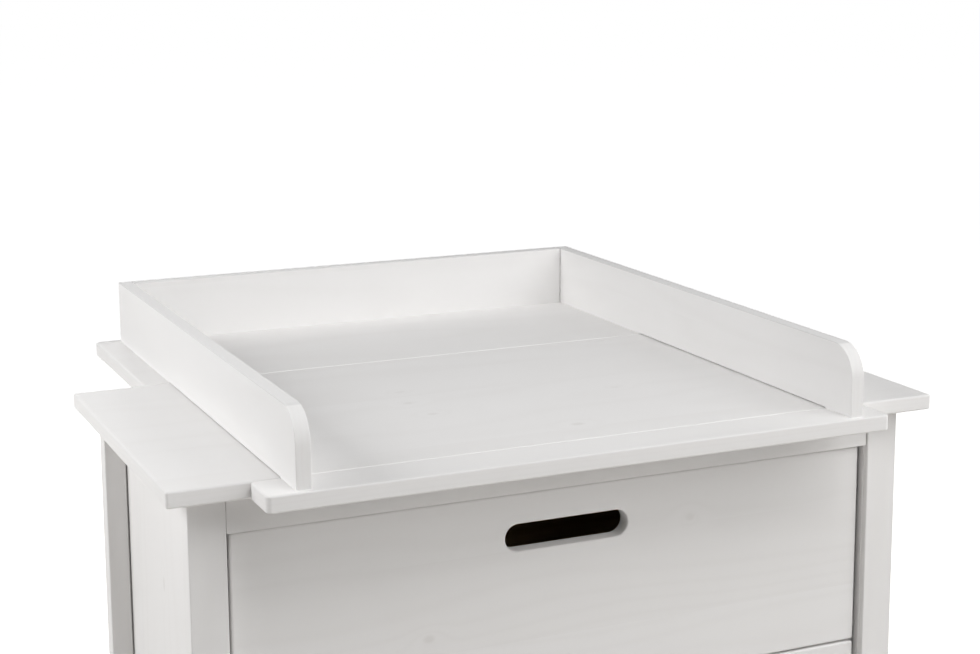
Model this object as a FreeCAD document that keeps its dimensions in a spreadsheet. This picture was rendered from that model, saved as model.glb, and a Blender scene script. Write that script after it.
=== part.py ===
import FreeCAD, Part
import os
import re
import Sketcher

# A changing dresser: a white pine chest of three drawers with a changing unit fixed on its top.
# Axes: +X to the right, +Y to the back, +Z up. The origin is on the floor, at the middle of the
# whole piece's width and depth. All sizes are in millimetres.

os.makedirs("parts", exist_ok=True)
doc = FreeCAD.newDocument("ChangingDresser")

# ---------------------------------------------------------------------------------------------
# Driving sizes. Every size that can be set by itself is written once, here.
# ---------------------------------------------------------------------------------------------
SIZES = [
    # dresser top
    ("top_width", 1000.0),
    ("top_depth", 480.0),
    ("top_thick", 20.0),
    ("top_height", 940.0),
    ("arris", 3.0),
    ("side_overhang", 30.0),
    ("front_overhang", 30.0),
    ("back_overhang", 10.0),
    # legs and what they stand on
    ("leg_width", 45.0),
    ("leg_depth", 26.0),
    ("leg_arris", 1.5),
    ("glide_height", 4.0),
    ("glide_radius", 10.0),
    # side panels, held by tongues in grooves of the legs
    ("panel_thick", 16.0),
    ("tongue_thick", 6.0),
    ("tongue_length", 7.0),
    # rails, tenoned into the legs
    ("rail_thick", 18.0),
    ("rail_recess", 3.0),
    ("top_rail_height", 47.0),
    ("bottom_rail_height", 40.0),
    ("rail_ground_gap", 35.0),
    ("tenon_thick", 8.0),
    ("tenon_length", 12.0),
    ("tenon_shoulder", 8.0),
    # back panel, let into rebates of the rear legs
    ("back_panel_thick", 4.0),
    ("back_panel_rebate", 8.0),
    # cleats that hold the top down
    ("cleat_size", 20.0),
    ("cleat_end_gap", 12.0),
    # drawer fronts
    ("front_thick", 20.0),
    ("front_recess", 12.0),
    ("front_side_gap", 5.0),
    ("front_gap", 3.0),
    ("front_arris", 3.0),
    ("handle_length", 165.0),
    ("handle_height", 34.0),
    ("handle_drop", 55.0),
    ("handle_chamfer", 1.5),
    # drawer boxes
    ("box_side_thick", 14.0),
    ("box_side_gap", 6.0),
    ("box_height", 200.0),
    ("box_lift", 16.0),
    ("box_back_gap", 8.0),
    ("box_back_thick", 14.0),
    ("box_back_inset", 12.0),
    ("housing_depth", 6.0),
    ("bottom_thick", 4.0),
    ("bottom_rise", 10.0),
    ("bottom_groove", 5.0),
    # runners and the grooves that ride on them
    ("runner_thick", 13.0),
    ("runner_height", 16.0),
    ("runner_top_play", 0.3),
    ("runner_low_play", 1.7),
    ("runner_front_play", 0.3),
    ("runner_back_gap", 6.0),
    ("groove_depth", 8.0),
    ("groove_rise", 100.0),
    # changing unit: two planks level with the top, two side boards and a back board
    ("front_plank_depth", 62.0),
    ("back_plank_depth", 295.0),
    ("plank_inset", 101.0),
    ("plank_joint", 0.5),
    ("unit_shift", -8.0),
    ("board_thick", 18.0),
    ("board_height", 88.0),
    ("board_inset", 35.0),
    ("board_front_inset", 7.0),
    ("board_back_inset", 10.0),
    ("board_corner", 40.0),
    ("board_relief", 1.2),
    ("board_arris", 2.5),
    ("board_joint", 0.6),
    ("board_tongue_thick", 8.0),
    ("board_tongue_length", 6.0),
    ("pad_width", 14.0),
    ("pad_length", 40.0),
    ("pad_end_gap", 40.0),
    # steel fittings that tie the unit to the dresser
    ("fitting_spacing", 500.0),
    ("fitting_screw_inset", 12.0),
    ("plate_width", 25.0),
    ("plate_thick", 2.5),
    ("plate_overhang", 48.0),
    ("plate_grip", 26.0),
    ("bracket_width", 30.0),
    ("bracket_thick", 3.0),
    ("bracket_length", 180.0),
    ("bracket_drop", 44.0),
    ("bracket_bend", 5.0),
    ("fitting_round", 6.0),
    # countersunk screws of the fittings
    ("screw_radius", 2.0),
    ("screw_head_radius", 4.0),
    ("screw_head_height", 2.2),
    ("screw_length", 18.0),
    ("screw_play", 0.1),
]

# Places and sizes that follow from the ones above.
DERIVED = [
    # depth: the front face of the front plank, the dresser top's two edges, the unit's back
    ("y_plank_front", "=-(front_plank_depth + top_depth + back_plank_depth) / 2"),
    ("y_top_front", "=y_plank_front + front_plank_depth"),
    ("y_top_back", "=y_top_front + top_depth"),
    ("y_plank_back", "=y_top_back + back_plank_depth"),
    ("y_leg_front", "=y_top_front + front_overhang"),
    ("y_leg_back", "=y_top_back - back_overhang"),
    ("y_panel_front", "=y_leg_front + leg_depth"),
    ("y_panel_back", "=y_leg_back - leg_depth"),
    # width: the frame's outer face and the faces that the drawers run between
    ("x_frame", "=top_width / 2 - side_overhang"),
    ("x_inner", "=x_frame - leg_width"),
    # heights
    ("z_under_top", "=top_height - top_thick"),
    ("z_opening_top", "=z_under_top - top_rail_height"),
    ("z_opening_low", "=rail_ground_gap + bottom_rail_height"),
    ("panel_height", "=z_under_top - rail_ground_gap"),
    ("leg_height", "=z_under_top - glide_height"),
    ("panel_depth", "=y_panel_back - y_panel_front"),
    ("rail_width", "=2 * x_inner"),
    ("y_rail_front", "=y_leg_front + rail_recess"),
    ("y_back_panel", "=y_leg_back - back_panel_thick"),
    ("y_rail_back", "=y_back_panel - rail_thick"),
    # drawers
    ("front_width", "=2 * (x_inner - front_side_gap)"),
    ("front_height", "=(z_opening_top - z_opening_low - 4 * front_gap) / 3"),
    ("y_drawer_front", "=y_leg_front + front_recess"),
    ("y_box_front", "=y_drawer_front + front_thick"),
    ("x_box", "=x_inner - box_side_gap"),
    ("box_depth", "=y_rail_back - y_box_front - box_back_gap"),
    ("box_inner_width", "=2 * (x_box - box_side_thick)"),
    ("side_length", "=box_depth + housing_depth"),
    ("box_back_height", "=box_height - bottom_rise - bottom_thick"),
    ("groove_height", "=runner_height + runner_top_play + runner_low_play"),
    ("runner_length", "=y_rail_back - y_box_front - runner_front_play - runner_back_gap"),
    # changing unit
    ("x_unit_left", "=unit_shift - top_width / 2 + plank_inset"),
    ("plank_width", "=top_width - 2 * plank_inset"),
    ("x_board_left", "=x_unit_left + board_inset"),
    ("x_board_right", "=x_unit_left + plank_width - board_inset - board_thick"),
    ("y_board_front", "=y_plank_front + board_front_inset"),
    ("board_length", "=y_plank_back - board_back_inset - y_board_front"),
    ("y_back_board", "=y_board_front + board_length - board_thick"),
    ("back_board_width", "=x_board_right - x_board_left - board_thick - 2 * board_joint"),
]


def fill_sheet(rows):
    """Write each size into the sheet under its own name."""
    sheet = doc.addObject("Spreadsheet::Sheet", "Sizes")
    for number, (alias, content) in enumerate(rows, start=1):
        sheet.set("A%d" % number, alias)
        sheet.set("B%d" % number, str(content))
        sheet.setAlias("B%d" % number, alias)
    doc.recompute()
    return sheet


sizes = fill_sheet(SIZES + DERIVED)


def size(alias):
    """The value that the sheet holds under this name, in millimetres."""
    return float(sizes.get(alias))


NAMES = {alias for alias, _ in SIZES + DERIVED}


def bound(text):
    """An expression in which every name of the sheet is looked up there."""
    return re.sub(r"[a-z]\w*", lambda word: ("Sizes." if word[0] in NAMES else "") + word[0], text)


def bind(thing, **expressions):
    """Bind properties to expressions; x, y and z are the thing's place."""
    for name, text in expressions.items():
        path = "Placement.Base." + name if name in ("x", "y", "z") else name
        thing.setExpression(path, bound(text))


def origin_plane(body, role):
    """One of a body's own origin planes, such as XY_Plane."""
    for feature in body.Origin.OriginFeatures:
        if feature.Role == role:
            return feature
    raise ValueError("no plane " + role)


# ---------------------------------------------------------------------------------------------
# Boards: a sketched rectangle, padded, with joints cut or added and the arrises rounded
# ---------------------------------------------------------------------------------------------
nodes = []


def rectangle(body, role, first, second):
    """A rectangle from the body's origin, its two sides bound to expressions."""
    sketch = body.newObject("Sketcher::SketchObject", "Outline")
    sketch.AttachmentSupport = [(origin_plane(body, role), "")]
    sketch.MapMode = "FlatFace"
    corners = [(0, 0), (10, 0), (10, 10), (0, 10)]
    points = [FreeCAD.Vector(u, v, 0) for u, v in corners]
    for index in range(4):
        sketch.addGeometry(Part.LineSegment(points[index], points[(index + 1) % 4]), False)
    for index in range(4):
        sketch.addConstraint(Sketcher.Constraint("Coincident", index, 2, (index + 1) % 4, 1))
    for index, kind in enumerate(("Horizontal", "Vertical", "Horizontal", "Vertical")):
        sketch.addConstraint(Sketcher.Constraint(kind, index))
    sketch.addConstraint(Sketcher.Constraint("Coincident", 0, 1, -1, 1))
    along = sketch.addConstraint(Sketcher.Constraint("DistanceX", 0, 1, 0, 2, 10.0))
    across = sketch.addConstraint(Sketcher.Constraint("DistanceY", 1, 1, 1, 2, 10.0))
    sketch.setExpression("Constraints[%d]" % along, bound(first))
    sketch.setExpression("Constraints[%d]" % across, bound(second))
    return sketch


def board(label, extent, place, kept=True):
    """A plain board: its extents and its lowest corner are expressions along X, Y and Z."""
    body = doc.addObject("PartDesign::Body", label)
    body.Label = label
    sketch = rectangle(body, "XY_Plane", extent[0], extent[1])
    pad = body.newObject("PartDesign::Pad", "Plank")
    pad.Profile = sketch
    bind(pad, Length=extent[2])
    bind(body, x=place[0], y=place[1], z=place[2])
    doc.recompute()
    if kept:
        nodes.append(body)
    return body


def measured(body, before, grows):
    """Recompute, and see that the last feature changed the body's volume the right way."""
    doc.recompute()
    change = body.Shape.Volume - before
    if (change > 0) != grows or abs(change) < 1e-3:
        raise RuntimeError("%s: a feature changed the volume by %.3f" % (body.Label, change))


def block(body, kind, extent, place):
    """Add a box to a body or take one from it, given in the body's own frame."""
    before = body.Shape.Volume
    feature = body.newObject("PartDesign::%sBox" % kind, kind + "Box")
    bind(feature, Length=extent[0], Width=extent[1], Height=extent[2])
    bind(feature, x=place[0], y=place[1], z=place[2])
    measured(body, before, kind == "Additive")
    return feature


def cut(body, extent, place):
    """Cut a groove, rebate, mortise or housing."""
    return block(body, "Subtractive", extent, place)


def add(body, extent, place):
    """Add a tongue or a tenon."""
    return block(body, "Additive", extent, place)


TURNS = {
    "up": FreeCAD.Rotation(),
    "down": FreeCAD.Rotation(FreeCAD.Vector(1, 0, 0), 180),
    "back": FreeCAD.Rotation(FreeCAD.Vector(1, 0, 0), -90),
    "front": FreeCAD.Rotation(FreeCAD.Vector(1, 0, 0), 90),
    "right": FreeCAD.Rotation(FreeCAD.Vector(0, 1, 0), 90),
    "left": FreeCAD.Rotation(FreeCAD.Vector(0, 1, 0), -90),
}


def drill(body, radius, depth, place, way):
    """Drill a round hole from a place in the body's frame, the way that the drill goes."""
    before = body.Shape.Volume
    hole = body.newObject("PartDesign::SubtractiveCylinder", "Hole")
    hole.Placement = FreeCAD.Placement(FreeCAD.Vector(), TURNS[way])
    bind(hole, Radius=radius, Height=depth)
    bind(hole, x=place[0], y=place[1], z=place[2])
    measured(body, before, False)


def sink(body, place, way):
    """Countersink a screw hole for its head, from the face that the screw goes in at."""
    before = body.Shape.Volume
    seat = body.newObject("PartDesign::SubtractiveCone", "Countersink")
    seat.Placement = FreeCAD.Placement(FreeCAD.Vector(), TURNS[way])
    bind(
        seat,
        Radius1="screw_head_radius + screw_play",
        Radius2="screw_radius + screw_play",
        Height="screw_head_height",
    )
    bind(seat, x=place[0], y=place[1], z=place[2])
    measured(body, before, False)


def round_edges(body, radius, wanted, kind="Fillet"):
    """Round or chamfer the edges that the test picks out by their box, in the body's frame."""
    base = body.Tip
    edges = enumerate(base.Shape.Edges, start=1)
    picked = ["Edge%d" % number for number, edge in edges if wanted(edge.BoundBox)]
    before = body.Shape.Volume
    arris = body.newObject("PartDesign::" + kind, "Arris")
    arris.Base = (base, picked)
    bind(arris, **{"Radius" if kind == "Fillet" else "Size": radius})
    doc.recompute()
    if abs(body.Shape.Volume - before) < 1e-3:
        raise RuntimeError(body.Label + ": a rounding changed nothing")


def on(value, target):
    """Whether two lengths are the same to a hundredth of a millimetre."""
    return abs(value - target) < 0.01


def runs(box, axis):
    """Whether an edge runs straight along one axis, X, Y or Z."""
    spans = {"X": box.XLength, "Y": box.YLength, "Z": box.ZLength}
    return all((span > 0.01) == (name == axis) for name, span in spans.items())


def at_x(box, target):
    """Whether an edge lies wholly at one X of the body's frame."""
    return on(box.XMin, target) and on(box.XMax, target)


def at_y(box, target):
    """Whether an edge lies wholly at one Y of the body's frame."""
    return on(box.YMin, target) and on(box.YMax, target)


def at_z(box, target):
    """Whether an edge lies wholly at one Z of the body's frame."""
    return on(box.ZMin, target) and on(box.ZMax, target)


def group(label, members):
    """One node of several separate solids."""
    compound = doc.addObject("Part::Compound", label)
    compound.Label = label
    compound.Links = members
    doc.recompute()
    nodes.append(compound)
    return compound


def cylinder(radius, height, place, way="up"):
    """A round bar from a place, going one way; for use in a group."""
    bar = doc.addObject("Part::Cylinder", "Bar")
    bar.Placement = FreeCAD.Placement(FreeCAD.Vector(), TURNS[way])
    bind(bar, Radius=radius, Height=height)
    bind(bar, x=place[0], y=place[1], z=place[2])
    return bar


def screw(length, place, way):
    """A countersunk wood screw whose flat head's face is at the place, pointing the way it goes in."""
    shank = cylinder("screw_radius", length, place, way)
    head = doc.addObject("Part::Cone", "Head")
    head.Placement = FreeCAD.Placement(FreeCAD.Vector(), TURNS[way])
    bind(head, Radius1="screw_head_radius", Radius2="screw_radius", Height="screw_head_height")
    bind(head, x=place[0], y=place[1], z=place[2])
    whole = doc.addObject("Part::Fuse", "Screw")
    whole.Base = head
    whole.Tool = shank
    return whole


# The two sides of the dresser. On the left a length across X counts from the frame's outer face
# at -x_frame, and on the right the same piece is the mirror image.
LEFT = "left"
RIGHT = "right"
SIDES = (LEFT, RIGHT)


def low_x(side, outer, width):
    """Where a piece's low X face is, when its outer face is at plus or minus this length."""
    return "-(%s)" % outer if side == LEFT else "%s - (%s)" % (outer, width)


# ---------------------------------------------------------------------------------------------
# Dresser top
# ---------------------------------------------------------------------------------------------
top = board(
    "top_panel",
    ("top_width", "top_depth", "top_thick"),
    ("-top_width / 2", "y_top_front", "z_under_top"),
)
round_edges(top, "arris", lambda box: not runs(box, "Z"))

# ---------------------------------------------------------------------------------------------
# Legs: the panel's groove, the rails' mortises and, at the back, the back panel's rebate
# ---------------------------------------------------------------------------------------------
RAILS = (("top", "z_opening_top"), ("bottom", "rail_ground_gap"))


def leg(side, end):
    """A leg, with its arrises rounded and its joints cut in its own frame."""
    front = end == "front"
    left = side == LEFT
    body = board(
        "leg_%s_%s" % (end, side),
        ("leg_width", "leg_depth", "leg_height"),
        (
            low_x(side, "x_frame", "leg_width"),
            "y_leg_front" if front else "y_panel_back",
            "glide_height",
        ),
    )
    outer_x = 0.0 if left else size("leg_width")
    round_edges(
        body,
        "leg_arris",
        lambda box: runs(box, "Z") and (at_x(box, outer_x) or front and at_y(box, 0.0)),
    )
    z_joints = "rail_ground_gap - glide_height"
    groove_inset = "(panel_thick - tongue_thick) / 2"
    cut(
        body,
        ("tongue_thick", "tongue_length", "panel_height"),
        (
            "leg_width - tongue_thick - " + groove_inset if left else groove_inset,
            "leg_depth - tongue_length" if front else "0",
            z_joints,
        ),
    )
    tenon_y = "rail_recess + (rail_thick - tenon_thick) / 2"
    if not front:
        tenon_y = "leg_depth - back_panel_thick - (rail_thick + tenon_thick) / 2"
    for level, z_rail in RAILS:
        cut(
            body,
            ("tenon_length", "tenon_thick", level + "_rail_height - 2 * tenon_shoulder"),
            (
                "leg_width - tenon_length" if left else "0",
                tenon_y,
                z_rail + " - glide_height + tenon_shoulder",
            ),
        )
    if not front:
        cut(
            body,
            ("back_panel_rebate", "back_panel_thick", "panel_height"),
            (
                "leg_width - back_panel_rebate" if left else "0",
                "leg_depth - back_panel_thick",
                z_joints,
            ),
        )
    return body


for side in SIDES:
    for end in ("front", "rear"):
        leg(side, end)

glides = [
    cylinder(
        "glide_radius",
        "glide_height",
        (
            "%s(x_frame - leg_width / 2)" % ("-" if side == LEFT else ""),
            "y_leg_front + leg_depth / 2" if end == "front" else "y_leg_back - leg_depth / 2",
            "0",
        ),
    )
    for side in SIDES
    for end in ("front", "rear")
]
group("foot_glides", glides)

# ---------------------------------------------------------------------------------------------
# Side panels, flush with the inside of the legs and set back from their outside
# ---------------------------------------------------------------------------------------------
for side in SIDES:
    panel = board(
        "side_panel_" + side,
        ("panel_thick", "panel_depth", "panel_height"),
        (low_x(side, "x_inner + panel_thick", "panel_thick"), "y_panel_front", "rail_ground_gap"),
    )
    for low in ("-tongue_length", "panel_depth"):
        add(
            panel,
            ("tongue_thick", "tongue_length", "panel_height"),
            ("(panel_thick - tongue_thick) / 2", low, "0"),
        )

# ---------------------------------------------------------------------------------------------
# Rails, each with a shouldered tenon at both ends
# ---------------------------------------------------------------------------------------------
for level, z_low in RAILS:
    height = level + "_rail_height"
    for end, y_low in (("front", "y_rail_front"), ("rear", "y_rail_back")):
        rail = board(
            "%s_rail_%s" % (level, end),
            ("rail_width", "rail_thick", height),
            ("-x_inner", y_low, z_low),
        )
        for x_low in ("-tenon_length", "rail_width"):
            add(
                rail,
                ("tenon_length", "tenon_thick", height + " - 2 * tenon_shoulder"),
                (x_low, "(rail_thick - tenon_thick) / 2", "tenon_shoulder"),
            )

board(
    "back_panel",
    ("rail_width + 2 * back_panel_rebate", "back_panel_thick", "panel_height"),
    ("-x_inner - back_panel_rebate", "y_back_panel", "rail_ground_gap"),
)

# cleats inside the side panels, through which the top is held down
for side in SIDES:
    board(
        "top_cleat_" + side,
        ("cleat_size", "panel_depth - 2 * cleat_end_gap", "cleat_size"),
        (
            low_x(side, "x_inner", "cleat_size"),
            "y_panel_front + cleat_end_gap",
            "z_under_top - cleat_size",
        ),
    )

# ---------------------------------------------------------------------------------------------
# Drawers, numbered from the top, and the runners that their grooved sides hang on
# ---------------------------------------------------------------------------------------------
DRAWERS = (1, 2, 3)


def front_low(number):
    """The height of a drawer front's lower edge."""
    return "z_opening_top - %d * (front_height + front_gap)" % number


def stadium_cut(body):
    """The handle slot, right through a drawer front: two straights between two half circles."""
    before = body.Shape.Volume
    sketch = body.newObject("Sketcher::SketchObject", "Slot")
    sketch.AttachmentSupport = [(origin_plane(body, "XZ_Plane"), "")]
    sketch.MapMode = "FlatFace"
    vector = FreeCAD.Vector
    half = (size("handle_length") - size("handle_height")) / 2
    radius = size("handle_height") / 2
    u_mid = size("front_width") / 2
    v_mid = size("front_height") - size("handle_drop")
    upper = [vector(u_mid + half, v_mid + radius, 0), vector(u_mid - half, v_mid + radius, 0)]
    lower = [vector(u_mid - half, v_mid - radius, 0), vector(u_mid + half, v_mid - radius, 0)]
    left_mid = vector(u_mid - half - radius, v_mid, 0)
    right_mid = vector(u_mid + half + radius, v_mid, 0)
    sketch.addGeometry(Part.LineSegment(upper[0], upper[1]), False)
    sketch.addGeometry(Part.Arc(upper[1], left_mid, lower[0]), False)
    sketch.addGeometry(Part.LineSegment(lower[0], lower[1]), False)
    sketch.addGeometry(Part.Arc(lower[1], right_mid, upper[0]), False)
    add_rule = sketch.addConstraint
    rule = Sketcher.Constraint
    add_rule(rule("Horizontal", 0))
    add_rule(rule("Horizontal", 2))
    add_rule(rule("Tangent", 0, 2, 1, 1))
    add_rule(rule("Tangent", 1, 2, 2, 1))
    add_rule(rule("Tangent", 2, 2, 3, 1))
    add_rule(rule("Tangent", 3, 2, 0, 1))
    for arc, text in ((1, "-"), (3, "+")):
        across = add_rule(rule("DistanceX", -1, 1, arc, 3, u_mid + (half if arc == 3 else -half)))
        sketch.setExpression(
            "Constraints[%d]" % across,
            bound("front_width / 2 %s (handle_length - handle_height) / 2" % text),
        )
    above = add_rule(rule("DistanceY", -1, 1, 1, 3, v_mid))
    sketch.setExpression("Constraints[%d]" % above, bound("front_height - handle_drop"))
    around = add_rule(rule("Radius", 1, radius))
    sketch.setExpression("Constraints[%d]" % around, bound("handle_height / 2"))
    pocket = body.newObject("PartDesign::Pocket", "HandleSlot")
    pocket.Profile = sketch
    pocket.Type = "ThroughAll"
    pocket.Reversed = False
    measured(body, before, False)


def slot_rim(box):
    """Whether an edge is part of the handle slot's rim, on either face of a drawer front."""
    u_mid = size("front_width") / 2
    v_mid = size("front_height") - size("handle_drop")
    u_reach = size("handle_length") / 2 + 0.01
    v_reach = size("handle_height") / 2 + 0.01
    within_u = box.XMin > u_mid - u_reach and box.XMax < u_mid + u_reach
    within_v = box.ZMin > v_mid - v_reach and box.ZMax < v_mid + v_reach
    return within_u and within_v and (at_y(box, 0.0) or at_y(box, size("front_thick")))


def drawer_front(number):
    """A drawer front: handle slot, housings for the sides, a groove for the bottom."""
    body = board(
        "drawer_%d_front" % number,
        ("front_width", "front_thick", "front_height"),
        ("-front_width / 2", "y_drawer_front", front_low(number)),
    )
    round_edges(body, "front_arris", lambda box: at_y(box, 0.0))
    stadium_cut(body)
    round_edges(body, "handle_chamfer", slot_rim, "Chamfer")
    for x_low in ("-x_box", "x_box - box_side_thick"):
        cut(
            body,
            ("box_side_thick", "housing_depth", "box_height"),
            ("front_width / 2 + " + x_low, "front_thick - housing_depth", "box_lift"),
        )
    cut(
        body,
        ("box_inner_width", "bottom_groove", "bottom_thick"),
        (
            "(front_width - box_inner_width) / 2",
            "front_thick - bottom_groove",
            "box_lift + bottom_rise",
        ),
    )
    return body


def drawer_side(number, side):
    """A drawer side: a runner groove outside, a bottom groove and a housing for the back inside."""
    body = board(
        "drawer_%d_side_%s" % (number, side),
        ("box_side_thick", "side_length", "box_height"),
        (
            low_x(side, "x_box", "box_side_thick"),
            "y_box_front - housing_depth",
            front_low(number) + " + box_lift",
        ),
    )
    outer = "0" if side == LEFT else "box_side_thick - groove_depth"
    cut(
        body,
        ("groove_depth", "box_depth", "groove_height"),
        (outer, "housing_depth", "groove_rise"),
    )
    inner = "box_side_thick - bottom_groove" if side == LEFT else "0"
    cut(
        body,
        ("bottom_groove", "box_depth + bottom_groove", "bottom_thick"),
        (inner, "housing_depth - bottom_groove", "bottom_rise"),
    )
    cut(
        body,
        ("bottom_groove", "box_back_thick", "box_back_height"),
        (
            inner,
            "side_length - box_back_inset - box_back_thick",
            "bottom_rise + bottom_thick",
        ),
    )
    return body


def drawer(number):
    """One drawer: front, two sides, back and bottom."""
    z_box = front_low(number) + " + box_lift"
    drawer_front(number)
    for side in SIDES:
        drawer_side(number, side)
    board(
        "drawer_%d_back" % number,
        ("box_inner_width + 2 * bottom_groove", "box_back_thick", "box_back_height"),
        (
            "-box_inner_width / 2 - bottom_groove",
            "y_box_front + box_depth - box_back_inset - box_back_thick",
            z_box + " + bottom_rise + bottom_thick",
        ),
    )
    board(
        "drawer_%d_bottom" % number,
        ("box_inner_width + 2 * bottom_groove", "box_depth + bottom_groove", "bottom_thick"),
        (
            "-box_inner_width / 2 - bottom_groove",
            "y_box_front - bottom_groove",
            z_box + " + bottom_rise",
        ),
    )


def runner(number, side):
    """A wooden runner on a side panel, inside the groove of a drawer's side."""
    board(
        "runner_%d_%s" % (number, side),
        ("runner_thick", "runner_length", "runner_height"),
        (
            low_x(side, "x_inner", "runner_thick"),
            "y_box_front + runner_front_play",
            front_low(number) + " + box_lift + groove_rise + runner_low_play",
        ),
    )


for number in DRAWERS:
    drawer(number)
    for side in SIDES:
        runner(number, side)

# ---------------------------------------------------------------------------------------------
# Changing unit
# ---------------------------------------------------------------------------------------------
PLANKS = (
    ("front_plank", "front_plank_depth - plank_joint", "y_plank_front"),
    ("back_plank", "back_plank_depth - plank_joint", "y_top_back + plank_joint"),
)
planks = {}
for label, depth, y_low in PLANKS:
    plank = board(label, ("plank_width", depth, "top_thick"), ("x_unit_left", y_low, "z_under_top"))
    planks[label] = plank
    round_edges(plank, "arris", lambda box: not runs(box, "Z"))

for side, x_low in ((LEFT, "x_board_left"), (RIGHT, "x_board_right")):
    body = board(
        "changing_side_" + side,
        ("board_thick", "board_length", "board_height"),
        (x_low, "y_board_front", "top_height"),
    )
    round_edges(
        body,
        "board_corner",
        lambda box: runs(box, "X") and at_y(box, 0.0) and at_z(box, size("board_height")),
    )
    round_edges(
        body,
        "board_arris",
        lambda box: not runs(box, "X")
        and not at_z(box, 0.0)
        and not at_y(box, size("board_length")),
    )
    cut(
        body,
        ("board_thick", "top_depth + 2 * plank_joint", "board_relief"),
        ("0", "y_top_front - plank_joint - y_board_front", "0"),
    )
    cut(
        body,
        ("board_tongue_length", "board_tongue_thick", "board_height - board_tongue_length"),
        (
            "board_thick - board_tongue_length" if side == LEFT else "0",
            "board_length - (board_thick + board_tongue_thick) / 2",
            "0",
        ),
    )

# the back board stands between the side boards, with a thin joint at each shoulder of its tongues
back_board = board(
    "changing_back",
    ("back_board_width", "board_thick", "board_height"),
    ("x_board_left + board_thick + board_joint", "y_back_board", "top_height"),
)
round_edges(
    back_board,
    "board_arris",
    lambda box: runs(box, "X") and at_z(box, size("board_height")),
)
for x_low in ("-board_joint - board_tongue_length", "back_board_width"):
    add(
        back_board,
        (
            "board_tongue_length + board_joint",
            "board_tongue_thick",
            "board_height - board_tongue_length",
        ),
        (x_low, "(board_thick - board_tongue_thick) / 2", "0"),
    )

# thin felt pads that carry the side boards over the dresser top
pads = []
for side in SIDES:
    for y_low in (
        "y_top_front + pad_end_gap",
        "y_top_front + (top_depth - pad_length) / 2",
        "y_top_back - pad_end_gap - pad_length",
    ):
        pads.append(
            board(
                "pad",
                ("pad_width", "pad_length", "board_relief"),
                ("x_board_%s + (board_thick - pad_width) / 2" % side, y_low, "top_height"),
                kept=False,
            )
        )
group("unit_pads", pads)

# ---------------------------------------------------------------------------------------------
# Steel fittings: flat plates under the front joint, angle brackets behind the back rail
# ---------------------------------------------------------------------------------------------
FITTINGS = ("unit_shift - fitting_spacing / 2", "unit_shift + fitting_spacing / 2")
SCREW_BORE = "screw_radius + screw_play"
fitting_screws = []
back_panel = doc.getObjectsByLabel("back_panel")[0]
back_rail = doc.getObjectsByLabel("top_rail_rear")[0]


def fix_up(fitting, wood, x_mid, y_local, y_low, wood_y_low, wood_x_low, thick):
    """Screw a fitting's flat up into the wood above it, at a place along the fitting."""
    width = "plate_width" if thick == "plate_thick" else "bracket_width"
    drill(fitting, SCREW_BORE, thick, (width + " / 2", y_local, "0"), "up")
    sink(fitting, (width + " / 2", y_local, "0"), "up")
    y_place = "%s + %s" % (y_low, y_local)
    drill(
        wood,
        SCREW_BORE,
        "screw_length + screw_play - " + thick,
        ("%s - (%s)" % (x_mid, wood_x_low), "%s - (%s)" % (y_place, wood_y_low), "0"),
        "up",
    )
    fitting_screws.append(screw("screw_length", (x_mid, y_place, "z_under_top - " + thick), "up"))


plates = []
brackets = []
for x_mid in FITTINGS:
    plate = board(
        "front_plate",
        ("plate_width", "plate_overhang + plate_grip", "plate_thick"),
        (x_mid + " - plate_width / 2", "y_top_front - plate_overhang", "z_under_top - plate_thick"),
        kept=False,
    )
    round_edges(plate, "fitting_round", lambda box: runs(box, "Z"))
    y_plate = "y_top_front - plate_overhang"
    fix_up(
        plate,
        planks["front_plank"],
        x_mid,
        "fitting_screw_inset",
        y_plate,
        "y_plank_front",
        "x_unit_left",
        "plate_thick",
    )
    fix_up(
        plate,
        top,
        x_mid,
        "plate_overhang + plate_grip - fitting_screw_inset",
        y_plate,
        "y_top_front",
        "-top_width / 2",
        "plate_thick",
    )
    plates.append(plate)

    bracket = board(
        "back_bracket",
        ("bracket_width", "bracket_length", "bracket_thick"),
        (x_mid + " - bracket_width / 2", "y_leg_back", "z_under_top - bracket_thick"),
        kept=False,
    )
    add(
        bracket,
        ("bracket_width", "bracket_thick", "bracket_drop - bracket_thick"),
        ("0", "0", "bracket_thick - bracket_drop"),
    )
    low = size("bracket_thick") - size("bracket_drop")
    thick = size("bracket_thick")
    round_edges(
        bracket,
        "bracket_bend",
        lambda box: runs(box, "X") and at_y(box, 0.0) and at_z(box, thick),
    )
    round_edges(
        bracket,
        "bracket_bend - bracket_thick",
        lambda box: runs(box, "X") and at_y(box, thick) and at_z(box, 0.0),
    )
    round_edges(
        bracket,
        "fitting_round",
        lambda box: runs(box, "Z") and at_y(box, size("bracket_length"))
        or runs(box, "Y") and at_z(box, low),
    )
    fix_up(
        bracket,
        planks["back_plank"],
        x_mid,
        "bracket_length - fitting_screw_inset",
        "y_leg_back",
        "y_top_back + plank_joint",
        "x_unit_left",
        "bracket_thick",
    )
    drop_hole = "bracket_thick - bracket_drop + fitting_screw_inset"
    z_drop = "z_under_top - bracket_thick + " + drop_hole
    drill(bracket, SCREW_BORE, "bracket_thick", ("bracket_width / 2", "bracket_thick", drop_hole), "front")
    sink(bracket, ("bracket_width / 2", "bracket_thick", drop_hole), "front")
    drill(
        back_panel,
        SCREW_BORE,
        "back_panel_thick",
        (x_mid + " + x_inner + back_panel_rebate", "back_panel_thick", z_drop + " - rail_ground_gap"),
        "front",
    )
    drill(
        back_rail,
        SCREW_BORE,
        "screw_length + screw_play - bracket_thick - back_panel_thick",
        (x_mid + " + x_inner", "rail_thick", z_drop + " - z_opening_top"),
        "front",
    )
    fitting_screws.append(screw("screw_length", (x_mid, "y_leg_back + bracket_thick", z_drop), "front"))
    brackets.append(bracket)

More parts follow.
